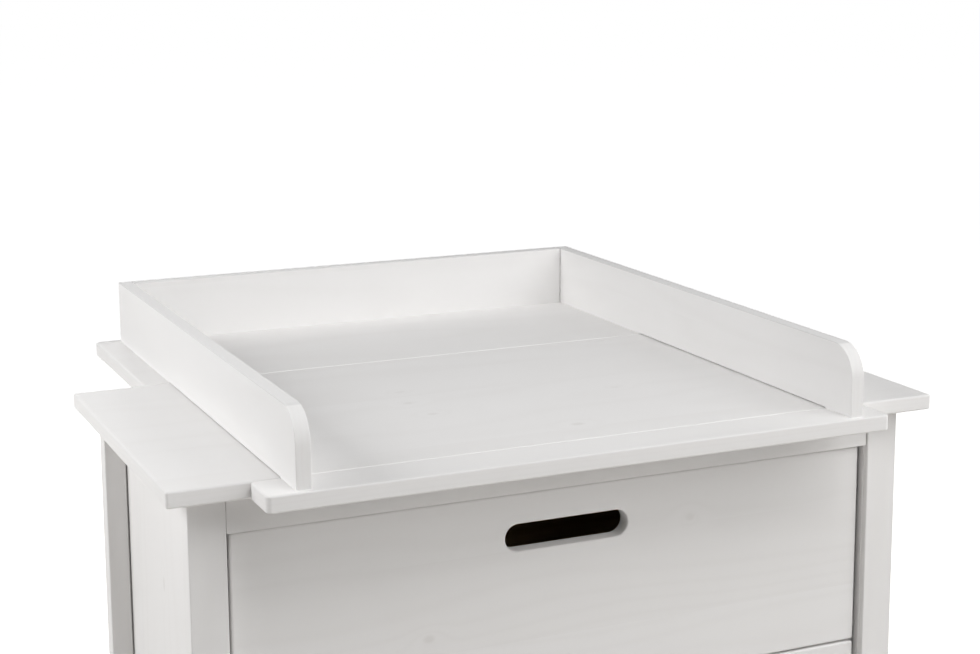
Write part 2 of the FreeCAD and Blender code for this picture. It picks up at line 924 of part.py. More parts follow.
group("front_plates", plates)
group("back_brackets", brackets)
group("fitting_screws", fitting_screws)

# ---------------------------------------------------------------------------------------------
# Check every piece, then write one file for each
# ---------------------------------------------------------------------------------------------
doc.recompute()
for thing in doc.Objects:
    if "Invalid" in thing.State or "Error" in thing.State:
        raise RuntimeError("%s failed to build" % thing.Name)
for node in nodes:
    if node.Shape.isNull() or not node.Shape.isValid():
        raise RuntimeError("%s has no valid shape" % node.Label)
if len({node.Label for node in nodes}) != len(nodes):
    raise RuntimeError("two pieces share a name")

for node in nodes:
    node.Shape.exportStep("parts/%s.step" % node.Label)
print("%d pieces written" % len(nodes))
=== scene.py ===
import logging
import math
from dataclasses import dataclass, field
from enum import Enum
from typing import Sequence

import bpy
import numpy as np
from mathutils import Matrix, Vector


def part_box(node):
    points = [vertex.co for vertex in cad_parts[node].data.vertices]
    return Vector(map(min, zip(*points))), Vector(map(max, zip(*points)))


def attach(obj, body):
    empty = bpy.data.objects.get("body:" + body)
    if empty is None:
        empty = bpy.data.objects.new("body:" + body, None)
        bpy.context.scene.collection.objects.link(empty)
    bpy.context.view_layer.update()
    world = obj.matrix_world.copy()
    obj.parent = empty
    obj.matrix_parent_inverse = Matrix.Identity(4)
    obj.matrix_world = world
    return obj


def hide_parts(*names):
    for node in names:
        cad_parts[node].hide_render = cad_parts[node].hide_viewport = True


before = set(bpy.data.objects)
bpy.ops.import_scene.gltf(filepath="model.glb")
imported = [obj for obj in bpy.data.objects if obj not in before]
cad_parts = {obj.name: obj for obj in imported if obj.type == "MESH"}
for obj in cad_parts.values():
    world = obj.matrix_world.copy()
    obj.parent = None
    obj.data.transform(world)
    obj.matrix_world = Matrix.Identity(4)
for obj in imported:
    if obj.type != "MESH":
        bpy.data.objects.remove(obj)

# A changing dresser in white-painted pine, dressed around its packed construction. Lengths are in
# metres, angles in degrees unless a name says otherwise. +X is to the right, +Y to the back, +Z up.

LOG = logging.getLogger("dresser")
MM = 0.001
HAIR = 0.1 * MM  # the arris of an edge that doesn't show
TINY = 1e-12  # keeps a division away from zero


# ---- Choices ----
class Grain(Enum):
    """The way that a board's grain runs, as the axes along it, across it and through it."""

    ALONG_X = (0, 1, 2)
    ALONG_X_UPRIGHT = (0, 2, 1)
    ALONG_Y = (1, 0, 2)
    ALONG_Y_UPRIGHT = (1, 2, 0)
    ALONG_Z = (2, 0, 1)
    ALONG_Z_SIDEWAYS = (2, 1, 0)


class Plane(Enum):
    """The plane that an outline is drawn in: its two axes, and the way that the board grows."""

    FLAT = ((1, 0, 0), (0, 1, 0), (0, 0, 1))
    FACING_FRONT = ((1, 0, 0), (0, 0, 1), (0, -1, 0))
    FACING_BACK = ((-1, 0, 0), (0, 0, 1), (0, 1, 0))
    FACING_RIGHT = ((0, 1, 0), (0, 0, 1), (1, 0, 0))
    FACING_DOWN = ((0, 1, 0), (1, 0, 0), (0, 0, -1))

    @property
    def axes(self) -> np.ndarray:
        """The three axes, one row each."""
        return np.array(self.value, float)


# ---- Meshes ----
@dataclass(frozen=True)
class Corner:
    """A corner of an outline, its radius, and how much arris the edge that leaves it takes."""

    u: float
    v: float
    radius: float = 0.0
    arris: float = 1.0


@dataclass(frozen=True)
class Outline:
    """A closed outline, walked with the wood on its left.

    Attributes:
        points: The corners, one row each.
        starts: The outward normal of each edge at its start.
        ends: The outward normal of each edge at its end.
        arris: How much of the arris each edge takes, from 0 to 1.
    """

    points: np.ndarray
    starts: np.ndarray
    ends: np.ndarray
    arris: np.ndarray

    def drawn_in(self) -> np.ndarray:
        """How far each corner moves for one metre of arris.

        The corner lies where its two edges meet after each has moved in along its normal by its
        own share of the arris: two linear equations for each corner, solved for all at once.

        Returns:
            One offset for each corner, of shape (corners, 2).
        """
        before, after = np.roll(self.ends, 1, axis=0), self.starts
        share_before, share_after = np.roll(self.arris, 1), self.arris
        cross = before[:, 0] * after[:, 1] - before[:, 1] * after[:, 0]
        straight = np.abs(cross) < 1e-6
        safe = np.where(straight, 1.0, cross)
        move_u = (-share_before * after[:, 1] + share_after * before[:, 1]) / safe
        move_v = (-share_after * before[:, 0] + share_before * after[:, 0]) / safe
        met = np.stack((move_u, move_v), axis=1)
        return np.where(straight[:, None], -after * share_after[:, None], met)


def outline_of(corners: Sequence[Corner], arc_steps: int = 10) -> Outline:
    """Draw an outline through corners, each rounded by its own radius.

    A round corner is an arc about the point that lies its radius inside both of its edges. A sharp
    one is an arc of no steps.

    Args:
        corners: The corners in order, with the wood on the left.
        arc_steps: How many straight pieces each round corner has.

    Returns:
        The outline.
    """
    points, starts, ends, arris = [], [], [], []
    place = np.array([(corner.u, corner.v) for corner in corners])
    way = np.roll(place, -1, axis=0) - place
    way /= np.linalg.norm(way, axis=1)[:, None]
    normal = np.stack((way[:, 1], -way[:, 0]), axis=1)
    for index, corner in enumerate(corners):
        before, after = normal[index - 1], normal[index]
        steps = arc_steps if corner.radius > 0.0 else 0
        first = math.atan2(before[1], before[0])
        turn = math.remainder(math.atan2(after[1], after[0]) - first, 2 * math.pi)
        reach = corner.radius * math.tan(abs(turn) / 2)
        middle = place[index] - way[index - 1] * reach - before * corner.radius
        angle = first + turn * np.linspace(0.0, 1.0, steps + 1)
        around = np.stack((np.cos(angle), np.sin(angle)), axis=1)
        points.append(middle + corner.radius * around)
        starts.append(np.vstack((around[:-1], after)))
        ends.append(np.vstack((around[1:], after)))
        arris.append(np.append(np.ones(steps), corner.arris))
    return Outline(np.vstack(points), np.vstack(starts), np.vstack(ends), np.concatenate(arris))


def rectangle(width: float, depth: float, radius: float, steps: int = 1) -> Outline:
    """A rectangle from the origin, with round corners.

    Args:
        width: Its length along the first axis.
        depth: Its length along the second axis.
        radius: The radius of its corners.
        steps: How many pieces each side is divided into.

    Returns:
        The outline.
    """
    places = np.array(((0.0, 0.0), (width, 0.0), (width, depth), (0.0, depth)))
    corners = []
    for place, following in zip(places, np.roll(places, -1, axis=0)):
        between = np.linspace(place, following, steps + 1)[1:-1]
        corners.append(Corner(*place, radius))
        corners.extend(Corner(u, v) for u, v in between)
    return outline_of(corners)


def edge_profile(thick: float, low: float, high: float, steps: int = 4) -> np.ndarray:
    """The rounded edge of a board: a quarter circle below, a straight wall, a quarter circle above.

    Args:
        thick: The board's thickness.
        low: The radius of the lower arris.
        high: The radius of the upper arris.
        steps: How many straight pieces each quarter circle has.

    Returns:
        One row for each ring: how far it is drawn in, its height, and its normal's slope.
    """
    below = np.linspace(-math.pi / 2, 0.0, steps + 1)
    above = np.linspace(0.0, math.pi / 2, steps + 1)
    inset = np.concatenate((low * (1 - np.cos(below)), high * (1 - np.cos(above))))
    height = np.concatenate((low * (1 + np.sin(below)), thick - high * (1 - np.sin(above))))
    return np.stack((inset, height, np.concatenate((below, above))), axis=1)


def unit_circle(sides: int) -> np.ndarray:
    """Evenly spaced points of a circle of radius 1, one row each."""
    turn = np.linspace(0.0, 2 * math.pi, sides + 1)[:-1]
    return np.stack((np.cos(turn), np.sin(turn)), axis=1)


@dataclass
class Surface:
    """Vertices, faces and a normal for each corner of each face, gathered piece by piece."""

    points: list[np.ndarray] = field(default_factory=list)
    faces: list[list[int]] = field(default_factory=list)
    normals: list[np.ndarray] = field(default_factory=list)

    def add_rings(self, space: np.ndarray) -> tuple[np.ndarray, np.ndarray]:
        """Add closed rings of vertices, and find the quads between each ring and the next.

        Args:
            space: The vertices' places, of shape (rings, around, 3).

        Returns:
            The vertex numbers, of shape (rings, around), and the corners of the quads, of shape
            (quads, 4).
        """
        first = sum(len(points) for points in self.points)
        self.points.append(space.reshape(-1, 3))
        number = first + np.arange(space.shape[0] * space.shape[1]).reshape(space.shape[:2])
        following = np.roll(number, -1, axis=1)
        quads = np.stack((number[:-1], following[:-1], following[1:], number[1:]), axis=-1)
        return number, quads.reshape(-1, 4)

    def add_faces(self, faces: np.ndarray, normals: np.ndarray) -> None:
        """Add faces of one size, with a normal for each corner of each face."""
        self.faces.extend(faces.tolist())
        self.normals.append(normals.reshape(-1, 3))

    def cap(self, ring: np.ndarray, facing: np.ndarray) -> None:
        """Close a ring with one flat face."""
        self.add_faces(ring[None], np.tile(facing, (len(ring), 1)))

    def add_wall(
        self, outline: Outline, profile: np.ndarray, axes: np.ndarray, origin: np.ndarray
    ) -> np.ndarray:
        """Carry an edge profile round an outline.

        Ring k is the outline drawn in by the profile's inset and raised by its height. A corner's
        normal is cos(slope) times the edge's outward normal plus sin(slope) times the third axis.

        Args:
            outline: The outline to follow.
            profile: Rows of inset, height and slope.
            axes: The outline's two axes and the board's axis, one row each.
            origin: Where the outline's zero lies.

        Returns:
            The vertex numbers, one row for each ring.
        """
        inset, height, slope = profile.T
        flat = outline.points[None] + outline.drawn_in()[None] * inset[:, None, None]
        space = origin + flat @ axes[:2] + height[:, None, None] * axes[2]
        number, quads = self.add_rings(space)
        tilt = (slope[:, None] * outline.arris)[..., None]
        below, above = tilt[:-1], tilt[1:]
        start, end = outline.starts @ axes[:2], outline.ends @ axes[:2]
        normals = [
            np.cos(angle) * out + np.sin(angle) * axes[2]
            for out, angle in ((start, below), (end, below), (end, above), (start, above))
        ]
        self.add_faces(quads, np.stack(normals, axis=2))
        return number

    def add_board(
        self,
        outline: Outline,
        plane: Plane,
        origin: Sequence[float],
        thick: float,
        low: float,
        high: float,
    ) -> "Surface":
        """Add a board of even thickness with rounded arrises.

        Args:
            outline: The board's outline.
            plane: The plane that the outline is drawn in.
            origin: Where the outline's zero lies.
            thick: The board's thickness, along the plane's third axis.
            low: The arris radius of the face at the origin.
            high: The arris radius of the other face.

        Returns:
            This surface.
        """
        axes = plane.axes
        rings = self.add_wall(outline, edge_profile(thick, low, high), axes, np.array(origin))
        self.cap(rings[0, ::-1], -axes[2])
        self.cap(rings[-1], axes[2])
        return self

    def add_pierced_face(
        self, outer: np.ndarray, inner: np.ndarray, middle: np.ndarray, axes: np.ndarray, up: bool
    ) -> None:
        """Fill the flat face between an outer ring and a hole's ring with triangles.

        Both rings are seen from a point inside the hole. Their corners are taken in the order of
        their angle about it, and each step along one ring makes a triangle with the last corner
        passed on the other.

        Args:
            outer: The outer ring's vertex numbers.
            inner: The hole's vertex numbers.
            middle: The point that the angles are measured about, in the outline's two axes.
            axes: The outline's two axes and the board's axis.
            up: Whether the face looks along the board's axis.
        """
        space = np.vstack(self.points)

        def by_angle(ring: np.ndarray) -> tuple[np.ndarray, np.ndarray]:
            """Sort a ring's corners by their angle about the middle.

            Args:
                ring: The corners' vertex numbers.

            Returns:
                The sorted numbers, and their angles.
            """
            flat = space[ring] @ axes[:2].T - middle
            angle = np.arctan2(flat[:, 1], flat[:, 0])
            order = np.argsort(angle)
            return ring[order], angle[order]

        far, far_angle = by_angle(outer)
        near, near_angle = by_angle(inner)
        behind_far = near[np.searchsorted(near_angle, np.roll(far_angle, -1), side="right") - 1]
        behind_near = far[np.searchsorted(far_angle, np.roll(near_angle, -1), side="left") - 1]
        wide = np.stack((far, np.roll(far, -1), behind_far), axis=1)
        slim = np.stack((behind_near, np.roll(near, -1), near), axis=1)
        triangles = np.vstack((wide, slim))[:, :: 1 if up else -1]
        facing = axes[2] if up else -axes[2]
        self.add_faces(triangles, np.tile(facing, (len(triangles), 3, 1)))

    def build(self, name: str) -> bpy.types.Object:
        """Make the mesh and an object that shows it.

        Args:
            name: The piece's name.

        Returns:
            The object, at the origin.
        """
        mesh = bpy.data.meshes.new(name)
        mesh.from_pydata(np.vstack(self.points).tolist(), [], self.faces)
        mesh.shade_smooth()
        mesh.normals_split_custom_set(np.vstack(self.normals).tolist())
        thing = bpy.data.objects.new(name, mesh)
        bpy.context.scene.collection.objects.link(thing)
        return thing


def corner_box(node: str) -> tuple[np.ndarray, np.ndarray]:
    """A node's lowest and highest corners at rest."""
    low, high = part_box(node)
    return np.array(low), np.array(high)


# ---- Material nodes ----
Socket = bpy.types.NodeSocket
Colour = tuple[float, float, float, float]


def opaque(red: float, green: float, blue: float) -> Colour:
    """An opaque colour."""
    return (red, green, blue, 1.0)


WHITE = opaque(1.0, 1.0, 1.0)


@dataclass(frozen=True)
class Value:
    """What a node works out, with the signs of arithmetic for more nodes."""

    nodes: "Nodes"
    socket: Socket

    def __add__(self, other: "Value | float") -> "Value":
        """The sum."""
        return self.nodes.math("ADD", self, other)

    def __sub__(self, other: "Value | float") -> "Value":
        """The difference."""
        return self.nodes.math("SUBTRACT", self, other)

    def __mul__(self, other: "Value | float") -> "Value":
        """The product."""
        return self.nodes.math("MULTIPLY", self, other)

    def __truediv__(self, other: "Value | float") -> "Value":
        """The quotient."""
        return self.nodes.math("DIVIDE", self, other)

    def __pow__(self, other: float) -> "Value":
        """The power."""
        return self.nodes.math("POWER", self, other)


class Nodes:
    """A node tree, with short calls for the nodes that the finishes and the studio use."""

    def __init__(self, tree: bpy.types.NodeTree) -> None:
        """Take the tree."""
        self.tree = tree

    def feed(self, socket: Socket, value: "Value | float | Sequence[float]") -> None:
        """Link a socket to what a node works out, or set it."""
        if isinstance(value, Value):
            self.tree.links.new(value.socket, socket)
        else:
            socket.default_value = value

    def node(
        self, kind: str, inputs: dict[int | str, object], output: int | str = 0, **settings: str
    ) -> Value:
        """Add a node.

        Args:
            kind: The node's kind, without its first word.
            inputs: What its inputs get, by their number or name.
            output: Which output is wanted.
            settings: The node's own settings.

        Returns:
            What the node works out.
        """
        made = self.tree.nodes.new(f"ShaderNode{kind}")
        for name, setting in settings.items():
            setattr(made, name, setting)
        for which, value in inputs.items():
            self.feed(made.inputs[which], value)
        return Value(self, made.outputs[output])

    def math(self, operation: str, *values: "Value | float") -> Value:
        """One step of arithmetic."""
        return self.node("Math", dict(enumerate(values)), operation=operation)

    def measure(self, operation: str, *vectors: "Value | Sequence[float]") -> Value:
        """A number that belongs to one or two vectors."""
        return self.node("VectorMath", dict(enumerate(vectors)), "Value", operation=operation)

    def vector(self, *parts: "Value | float") -> Value:
        """A vector of three parts."""
        return self.node("CombineXYZ", dict(enumerate(parts)))

    def noise(self, place: Value, scale: float, detail: float = 2.0, rough: float = 0.5) -> Value:
        """Smooth noise, from 0 to 1."""
        inputs = {"Vector": place, "Scale": scale, "Detail": detail, "Roughness": rough}
        return self.node("TexNoise", inputs)

    def random(self, seed: Value) -> Value:
        """A random number from 0 to 1 that belongs to the seed."""
        return self.node("TexWhiteNoise", {"W": seed}, "Value", noise_dimensions="1D")

    def fade(
        self,
        value: Value,
        low: float,
        high: float,
        start: float = 0.0,
        end: float = 1.0,
        way: str = "SMOOTHSTEP",
    ) -> Value:
        """Go over from the start to the end while the value goes from low to high."""
        inputs = {0: value, 1: low, 2: high, 3: start, 4: end}
        return self.node("MapRange", inputs, interpolation_type=way)

    def mix(self, share: "Value | float", first: "Value | Colour", second: Colour) -> Value:
        """A colour between two others."""
        return self.node("Mix", {0: share, 6: first, 7: second}, 2, data_type="RGBA")

    def weigh(self, values: Sequence["Value | float"], weights: Sequence[float]) -> Value:
        """The sum of some values, each times its weight; the first comes from a node."""
        first, *others = (value * weight for value, weight in zip(values, weights))
        return sum(others, first)

    def seen_directly(self) -> Value:
        """Tell the rays that see a thing directly.

        Returns:
            1 where a ray comes from the camera, a reflection or glass, and 0 elsewhere.
        """
        shown = self.node("LightPath", {}, "Is Camera Ray")
        for ray in ("Is Glossy Ray", "Is Transmission Ray"):
            shown = self.math("MAXIMUM", shown, self.node("LightPath", {}, ray))
        return shown


class Shader(Nodes):
    """A material with its shader, and the place on the piece."""

    def __init__(self, name: str) -> None:
        """Make the material, and read the place on the piece.

        Args:
            name: The material's name.
        """
        self.material = bpy.data.materials.new(name)
        self.material.use_nodes = True
        super().__init__(self.material.node_tree)
        self.surface = self.tree.nodes["Principled BSDF"]
        self.place = self.node("TexCoord", {}, "Object")
        self.axis = [self.node("SeparateXYZ", {0: self.place}, index) for index in range(3)]

    def bump(self, height: Value, depth: float) -> None:
        """Raise and sink the surface by a height from 0 to 1, times a depth in metres."""
        raised = self.node("Bump", {"Strength": 1.0, "Distance": depth, "Height": height})
        self.feed(self.surface.inputs["Normal"], raised)

    def look(
        self,
        colour: "Value | Colour",
        rough: "Value | float",
        metal: float = 0.0,
        shine: float = 0.5,
    ) -> None:
        """Set how the surface looks.

        Args:
            colour: Its colour.
            rough: Its roughness.
            metal: 1 for metal, and 0 for anything else.
            shine: How strongly it shines, where 0.5 is usual.
        """
        self.feed(self.surface.inputs["Base Color"], colour)
        self.feed(self.surface.inputs["Roughness"], rough)
        self.surface.inputs["Metallic"].default_value = metal
        self.surface.inputs["Specular IOR Level"].default_value = shine


# ---- Finishes ----
KNOT_CORE, KNOT_RIM = 0.35, 1.15  # where a knot's soft edge starts and ends, in its half sizes
KNOT_HOLD = 0.16  # how quickly the swelling round a knot dies away


@dataclass(frozen=True)
class Knot:
    """A knot that shows through the paint: its middle, half length and width, and strength."""

    x: float
    y: float
    z: float
    long: float
    wide: float
    strength: float = 1.0

    def show(self, shader: Shader, grain: Grain) -> tuple[Value, Value]:
        """Work out an ellipse along the grain, and how the rings swell round it.

        Args:
            shader: The material to add nodes to.
            grain: The way that the grain runs.

        Returns:
            The knot's own mask and the swelling round it, from 0 to 1.
        """
        middle = (self.x, self.y, self.z)
        sizes = zip(grain.value, (self.long, self.wide, self.wide))
        away = [(shader.axis[axis] - middle[axis]) / half for axis, half in sizes]
        far = shader.measure("LENGTH", shader.vector(*away))
        mask = shader.fade(far, KNOT_CORE, KNOT_RIM, 1.0, 0.0) * self.strength
        return mask, shader.math("EXPONENT", far * far * -KNOT_HOLD)


@dataclass(frozen=True)
class Pine:
    """Pine boards glued side by side: growth rings, fibres, knots and the lines between staves.

    Attributes:
        stave: The width of one stave.
        line: Half the width of the line between staves.
        shift: How far the patterns of neighbouring staves lie apart along the grain.
        heart: How far the log's heart lies below the face, as a share of the stave.
        slow: How quickly the rings wander along the grain, and across it.
        ring_spacing: How far apart the growth rings lie.
        ring_wander: How far, in rings, they wander along the board.
        ring_swell: How far, in rings, they swell round a knot.
        fibre_width: The width of the fine fibres.
        fibre_share: That width over their length.
    """

    stave: float = 0.115
    line: float = 0.7 * MM
    shift: float = 9.0
    heart: float = 0.35
    slow: tuple[float, float] = (1.3, 5.0)
    ring_spacing: float = 0.0065
    ring_wander: float = 5.0
    ring_swell: float = 1.3
    fibre_width: float = 0.0011
    fibre_share: float = 0.02

    def pattern(
        self, shader: Shader, grain: Grain, seed: float, knots: Sequence[Knot]
    ) -> tuple[Value, Value, Value, "Value | float", Value]:
        """Work out the wood's pattern.

        Each stave is cut from a round log of its own: its rings are circles about a heart below
        the face, so their number is the distance from the heart over the spacing, plus slow
        noise along the board. Near a knot the rings swell round it.

        Args:
            shader: The material to add nodes to.
            grain: The way that the grain runs.
            seed: A number that makes this board its own.
            knots: The knots that show on it.

        Returns:
            Late wood, fibres, the line between staves, the knots, and each stave's own tone, all
            from 0 to 1.
        """
        along, across, through = (shader.axis[axis] for axis in grain.value)
        count = (across + seed) / self.stave
        number = shader.math("FLOOR", count)
        share = count - number
        tone = shader.random(number + seed)
        shifted = along + tone * self.shift
        lengthways, sideways = self.slow
        bend = shader.vector(shifted * lengthways, across * sideways, through * sideways)
        wander = shader.noise(bend, 1.0) * self.ring_wander
        below = through + (self.heart * self.stave + seed * MM)
        off_heart = shader.vector((share - tone) * self.stave, below, 0.0)
        rings = shader.measure("LENGTH", off_heart) / self.ring_spacing + wander
        shown: Value | float = 0.0
        for knot in knots:
            mask, swell = knot.show(shader, grain)
            rings = rings + swell * self.ring_swell
            shown = shader.math("MAXIMUM", shown, mask)
        wave = shader.math("COSINE", rings * (2 * math.pi))
        late = (wave * 0.5 + 0.5) ** 3.0
        width = self.fibre_width
        long = shifted * (self.fibre_share / width)
        fibres = shader.noise(shader.vector(long, across / width, through / width), 1.0, 3.0)
        edge = shader.math("ABSOLUTE", share - 0.5)
        line = shader.fade(edge, 0.5 - self.line / self.stave, 0.5)
        return late, fibres, line, shown, tone


@dataclass(frozen=True)
class WhitePaint:
    """Thin white paint on pine, satin, through which the grain shows faintly.

    Attributes:
        light, late_wood, knot: The paint's colour on early wood, on late wood and on a knot.
        shades: How far late wood, fibres, clouds, tone and lines go towards late wood's colour.
        knot_share: How strongly the knots show.
        rough, rough_spread: The paint's roughness, and how much the brush marks vary it.
        shine: The strength of its shine.
        edge: A darker colour painted on a board's upper edge: painted shade, as if less lit from
            above.
            shaded_top_height, shaded_top_fade: Where that painted shade starts, and the height of
                its change.
        relief: The depth of the paint's relief.
        heights: What late wood, fibres, brush marks, lines and knots add to the relief.
    """

    light: Colour = opaque(0.862, 0.854, 0.848)
    late_wood: Colour = opaque(0.790, 0.776, 0.764)
    knot: Colour = opaque(0.600, 0.578, 0.550)
    shades: tuple[float, ...] = (0.15, 0.16, 0.30, 0.18, 0.14)
    knot_share: float = 0.25
    rough: float = 0.56
    rough_spread: float = 0.08
    shine: float = 0.22
    edge: Colour = opaque(0.755, 0.748, 0.743)
    # by default this height lies above everything, so no painted shade shows
    shaded_top_height: float = 9.0
    shaded_top_fade: float = 1.0 * MM
    relief: float = 0.06 * MM
    heights: tuple[float, ...] = (0.25, 0.25, 0.22, -0.8, -0.5)
    pine: Pine = Pine()

    def make(
        self, name: str, grain: Grain, seed: float, knots: Sequence[Knot] = ()
    ) -> bpy.types.Material:
        """Make the painted material of one board.

        Args:
            name: The material's name.
            grain: The way that the grain runs.
            seed: A number that makes this board its own.
            knots: The knots that show through.

        Returns:
            The material.
        """
        shader = Shader(name)
        late, fibres, line, shown, tone = self.pine.pattern(shader, grain, seed, knots)
        cloud = shader.noise(shader.place, scale=7.0)
        brushed = shader.noise(shader.place, scale=420.0)
        shade = shader.weigh((late, fibres, cloud, tone, line), self.shades)
        colour = shader.mix(shade, self.light, self.late_wood)
        colour = shader.mix(shown * self.knot_share, colour, self.knot)
        # painted shade: above the height, the paint goes over to a darker grey on the boards' upper
        # edges
        upper = shader.fade(shader.axis[2], self.shaded_top_height, self.shaded_top_height + self.shaded_top_fade)
        colour = shader.mix(upper, colour, self.edge)
        rough = brushed * self.rough_spread + (self.rough - self.rough_spread / 2)
        shader.look(colour, rough, shine=self.shine)
        height = shader.weigh((late, fibres, brushed, line, shown), self.heights)
        shader.bump(height, self.relief)
        return shader.material


@dataclass(frozen=True)
class BarePine:
    """Planed pine without paint, as on the drawer boxes and the runners.

    Attributes:
        early, late_wood: The colours of the wood.
        shades: How far late wood, fibres, tone and lines go towards late wood's colour.
        heights: What late wood and fibres add to the relief.
        rough, relief: The roughness, and the depth of the relief.
    """

    early: Colour = opaque(0.730, 0.560, 0.365)
    late_wood: Colour = opaque(0.520, 0.330, 0.165)
    shades: tuple[float, ...] = (0.48, 0.30, 0.16, 0.20)
    heights: tuple[float, ...] = (0.5, 0.5)
    rough: float = 0.55
    relief: float = 0.08 * MM
    pine: Pine = Pine(stave=0.10, ring_spacing=0.0055)

    def make(self, name: str, grain: Grain, seed: float) -> bpy.types.Material:
        """Make the bare wood of one board, from the same pattern as the painted wood.

        Args:
            name: The material's name.
            grain: The way that the grain runs.
            seed: A number that makes this board its own.

        Returns:
            The material.
        """
        shader = Shader(name)
        late, fibres, line, _, tone = self.pine.pattern(shader, grain, seed, ())
        shade = shader.weigh((late, fibres, tone, line), self.shades)
        shader.look(shader.mix(shade, self.early, self.late_wood), self.rough)
        shader.bump(shader.weigh((late, fibres), self.heights), self.relief)
        return shader.material


@dataclass(frozen=True)
class CoatedBoard:
    """Thin hardboard: a white coat on the face that looks into the furniture, bare behind it.

    Attributes:
        coat, bare: The colours of the coat and of the bare board.
        fleck: The colour of the bare board's fibres.
        shades: How far fibres and blotches go towards the fleck's colour.
        into: The way that the coated face looks.
        coat_rough, bare_rough: The roughness of the two faces.
        relief: The depth of the fibres.
    """

    coat: Colour = opaque(0.780, 0.775, 0.765)
    bare: Colour = opaque(0.440, 0.300, 0.190)
    fleck: Colour = opaque(0.270, 0.170, 0.100)
    shades: tuple[float, ...] = (0.8, 0.3)
    into: tuple[float, float, float] = (0.0, 0.0, 1.0)
    coat_rough: float = 0.37
    bare_rough: float = 0.62
    relief: float = 0.05 * MM

    def make(self, name: str) -> bpy.types.Material:
        """Make the board's two faces, told apart by the way that the surface looks.

        Args:
            name: The material's name.

        Returns:
            The material.
        """
        shader = Shader(name)
        normal = shader.node("NewGeometry", {}, "True Normal")
        coated = shader.fade(shader.measure("DOT_PRODUCT", normal, self.into), 0.45, 0.55)
        fibre = shader.noise(shader.place, scale=900.0, detail=4.0, rough=0.7)
        blotch = shader.noise(shader.place, scale=30.0, detail=3.0)
        bare = shader.mix(shader.weigh((fibre, blotch), self.shades), self.bare, self.fleck)
        rough = coated * (self.coat_rough - self.bare_rough) + self.bare_rough
        shader.look(shader.mix(coated, bare, self.coat), rough)
        shader.bump(fibre, self.relief)
        return shader.material


@dataclass(frozen=True)
class ZincSteel:
    """Rolled steel with a thin zinc coat: faint rolling marks and dull blotches.

    Attributes:
        colour, dull: The colours of the zinc and of its blotches.
        rolling: How quickly the rolling marks change along each axis.
        rough, rough_spread: The least roughness, and what a blotch adds.
        relief: The depth of the rolling marks.
    """

    colour: Colour = opaque(0.560, 0.575, 0.590)
    dull: Colour = opaque(0.420, 0.432, 0.442)
    rolling: tuple[float, float, float] = (2600.0, 70.0, 2600.0)
    rough: float = 0.26
    rough_spread: float = 0.22
    relief: float = 0.01 * MM

    def make(self, name: str) -> bpy.types.Material:
        """Make the metal.

        Args:
            name: The material's name.

        Returns:
            The material.
        """
        shader = Shader(name)
        blotch = shader.noise(shader.place, scale=130.0, detail=4.0, rough=0.6)
        place = (axis * often for axis, often in zip(shader.axis, self.rolling))
        rolled = shader.noise(shader.vector(*place), scale=1.0)
        rough = blotch * self.rough_spread + self.rough
        shader.look(shader.mix(blotch, self.colour, self.dull), rough, metal=1.0)
        shader.bump(rolled, self.relief)
        return shader.material


@dataclass(frozen=True)
class MouldedPlastic:
    """Off-white moulded plastic with a fine matt texture."""

    colour: Colour = opaque(0.640, 0.630, 0.600)
    scuff: Colour = opaque(0.520, 0.505, 0.470)
    rough: float = 0.52
    relief: float = 0.02 * MM

    def make(self, name: str) -> bpy.types.Material:
        """Make the plastic.

        Args:
            name: The material's name.

        Returns:
            The material.
        """
        shader = Shader(name)
        worn = shader.noise(shader.place, scale=160.0, detail=3.0)
        shader.look(shader.mix(worn, self.colour, self.scuff), self.rough)
        shader.bump(shader.noise(shader.place, scale=1800.0), self.relief)
        return shader.material


@dataclass(frozen=True)
class Felt:
    """Grey pressed felt: short tangled fibres with a soft sheen."""

    pale: Colour = opaque(0.265, 0.262, 0.255)
    dark: Colour = opaque(0.120, 0.118, 0.114)
    rough: float = 0.95
    sheen: float = 0.35
    relief: float = 0.2 * MM

    def make(self, name: str) -> bpy.types.Material:
        """Make the felt.

        Args:
            name: The material's name.

        Returns:
            The material.
        """
        shader = Shader(name)
        tangle = shader.noise(shader.place, scale=2400.0, detail=5.0, rough=0.75)
        shader.look(shader.mix(tangle, self.pale, self.dark), self.rough)
        shader.feed(shader.surface.inputs["Sheen Weight"], self.sheen)
        shader.bump(tangle, self.relief)
        return shader.material


# ---- Dressing ----
def dress(node: str, material: bpy.types.Material) -> None:
    """Give a node of the construction its finish."""
    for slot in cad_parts[node].material_slots:
        slot.material = material
    LOG.info("dressed %s", node)


def settle(
    piece: bpy.types.Object, material: bpy.types.Material, body: str, slot: str, *nodes: str
) -> None:
    """Finish a new piece and tie it to its body.

    Args:
        piece: The piece.
        material: Its finish.
        body: The body that it moves with.
        slot: Not used.
        nodes: The nodes that it stands for.
    """
    piece.data.materials.append(material)
    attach(piece, body)
    if nodes:
        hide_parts(*nodes)
    LOG.info("made %s, %d faces", piece.name, len(piece.data.polygons))


def flat_board(node: str, name: str, corner: float, arris: float) -> bpy.types.Object:
    """A flat board of a node's own size and place.

    Args:
        node: The node that it stands for.
        name: The piece's name.
        corner: The radius of its upright corners.
        arris: The radius of its long arrises.

    Returns:
        The piece.
    """
    low, high = corner_box(node)
    width, depth, thick = high - low
    outline = rectangle(width, depth, corner)
    return Surface().add_board(outline, Plane.FLAT, low, thick, arris, arris).build(name)


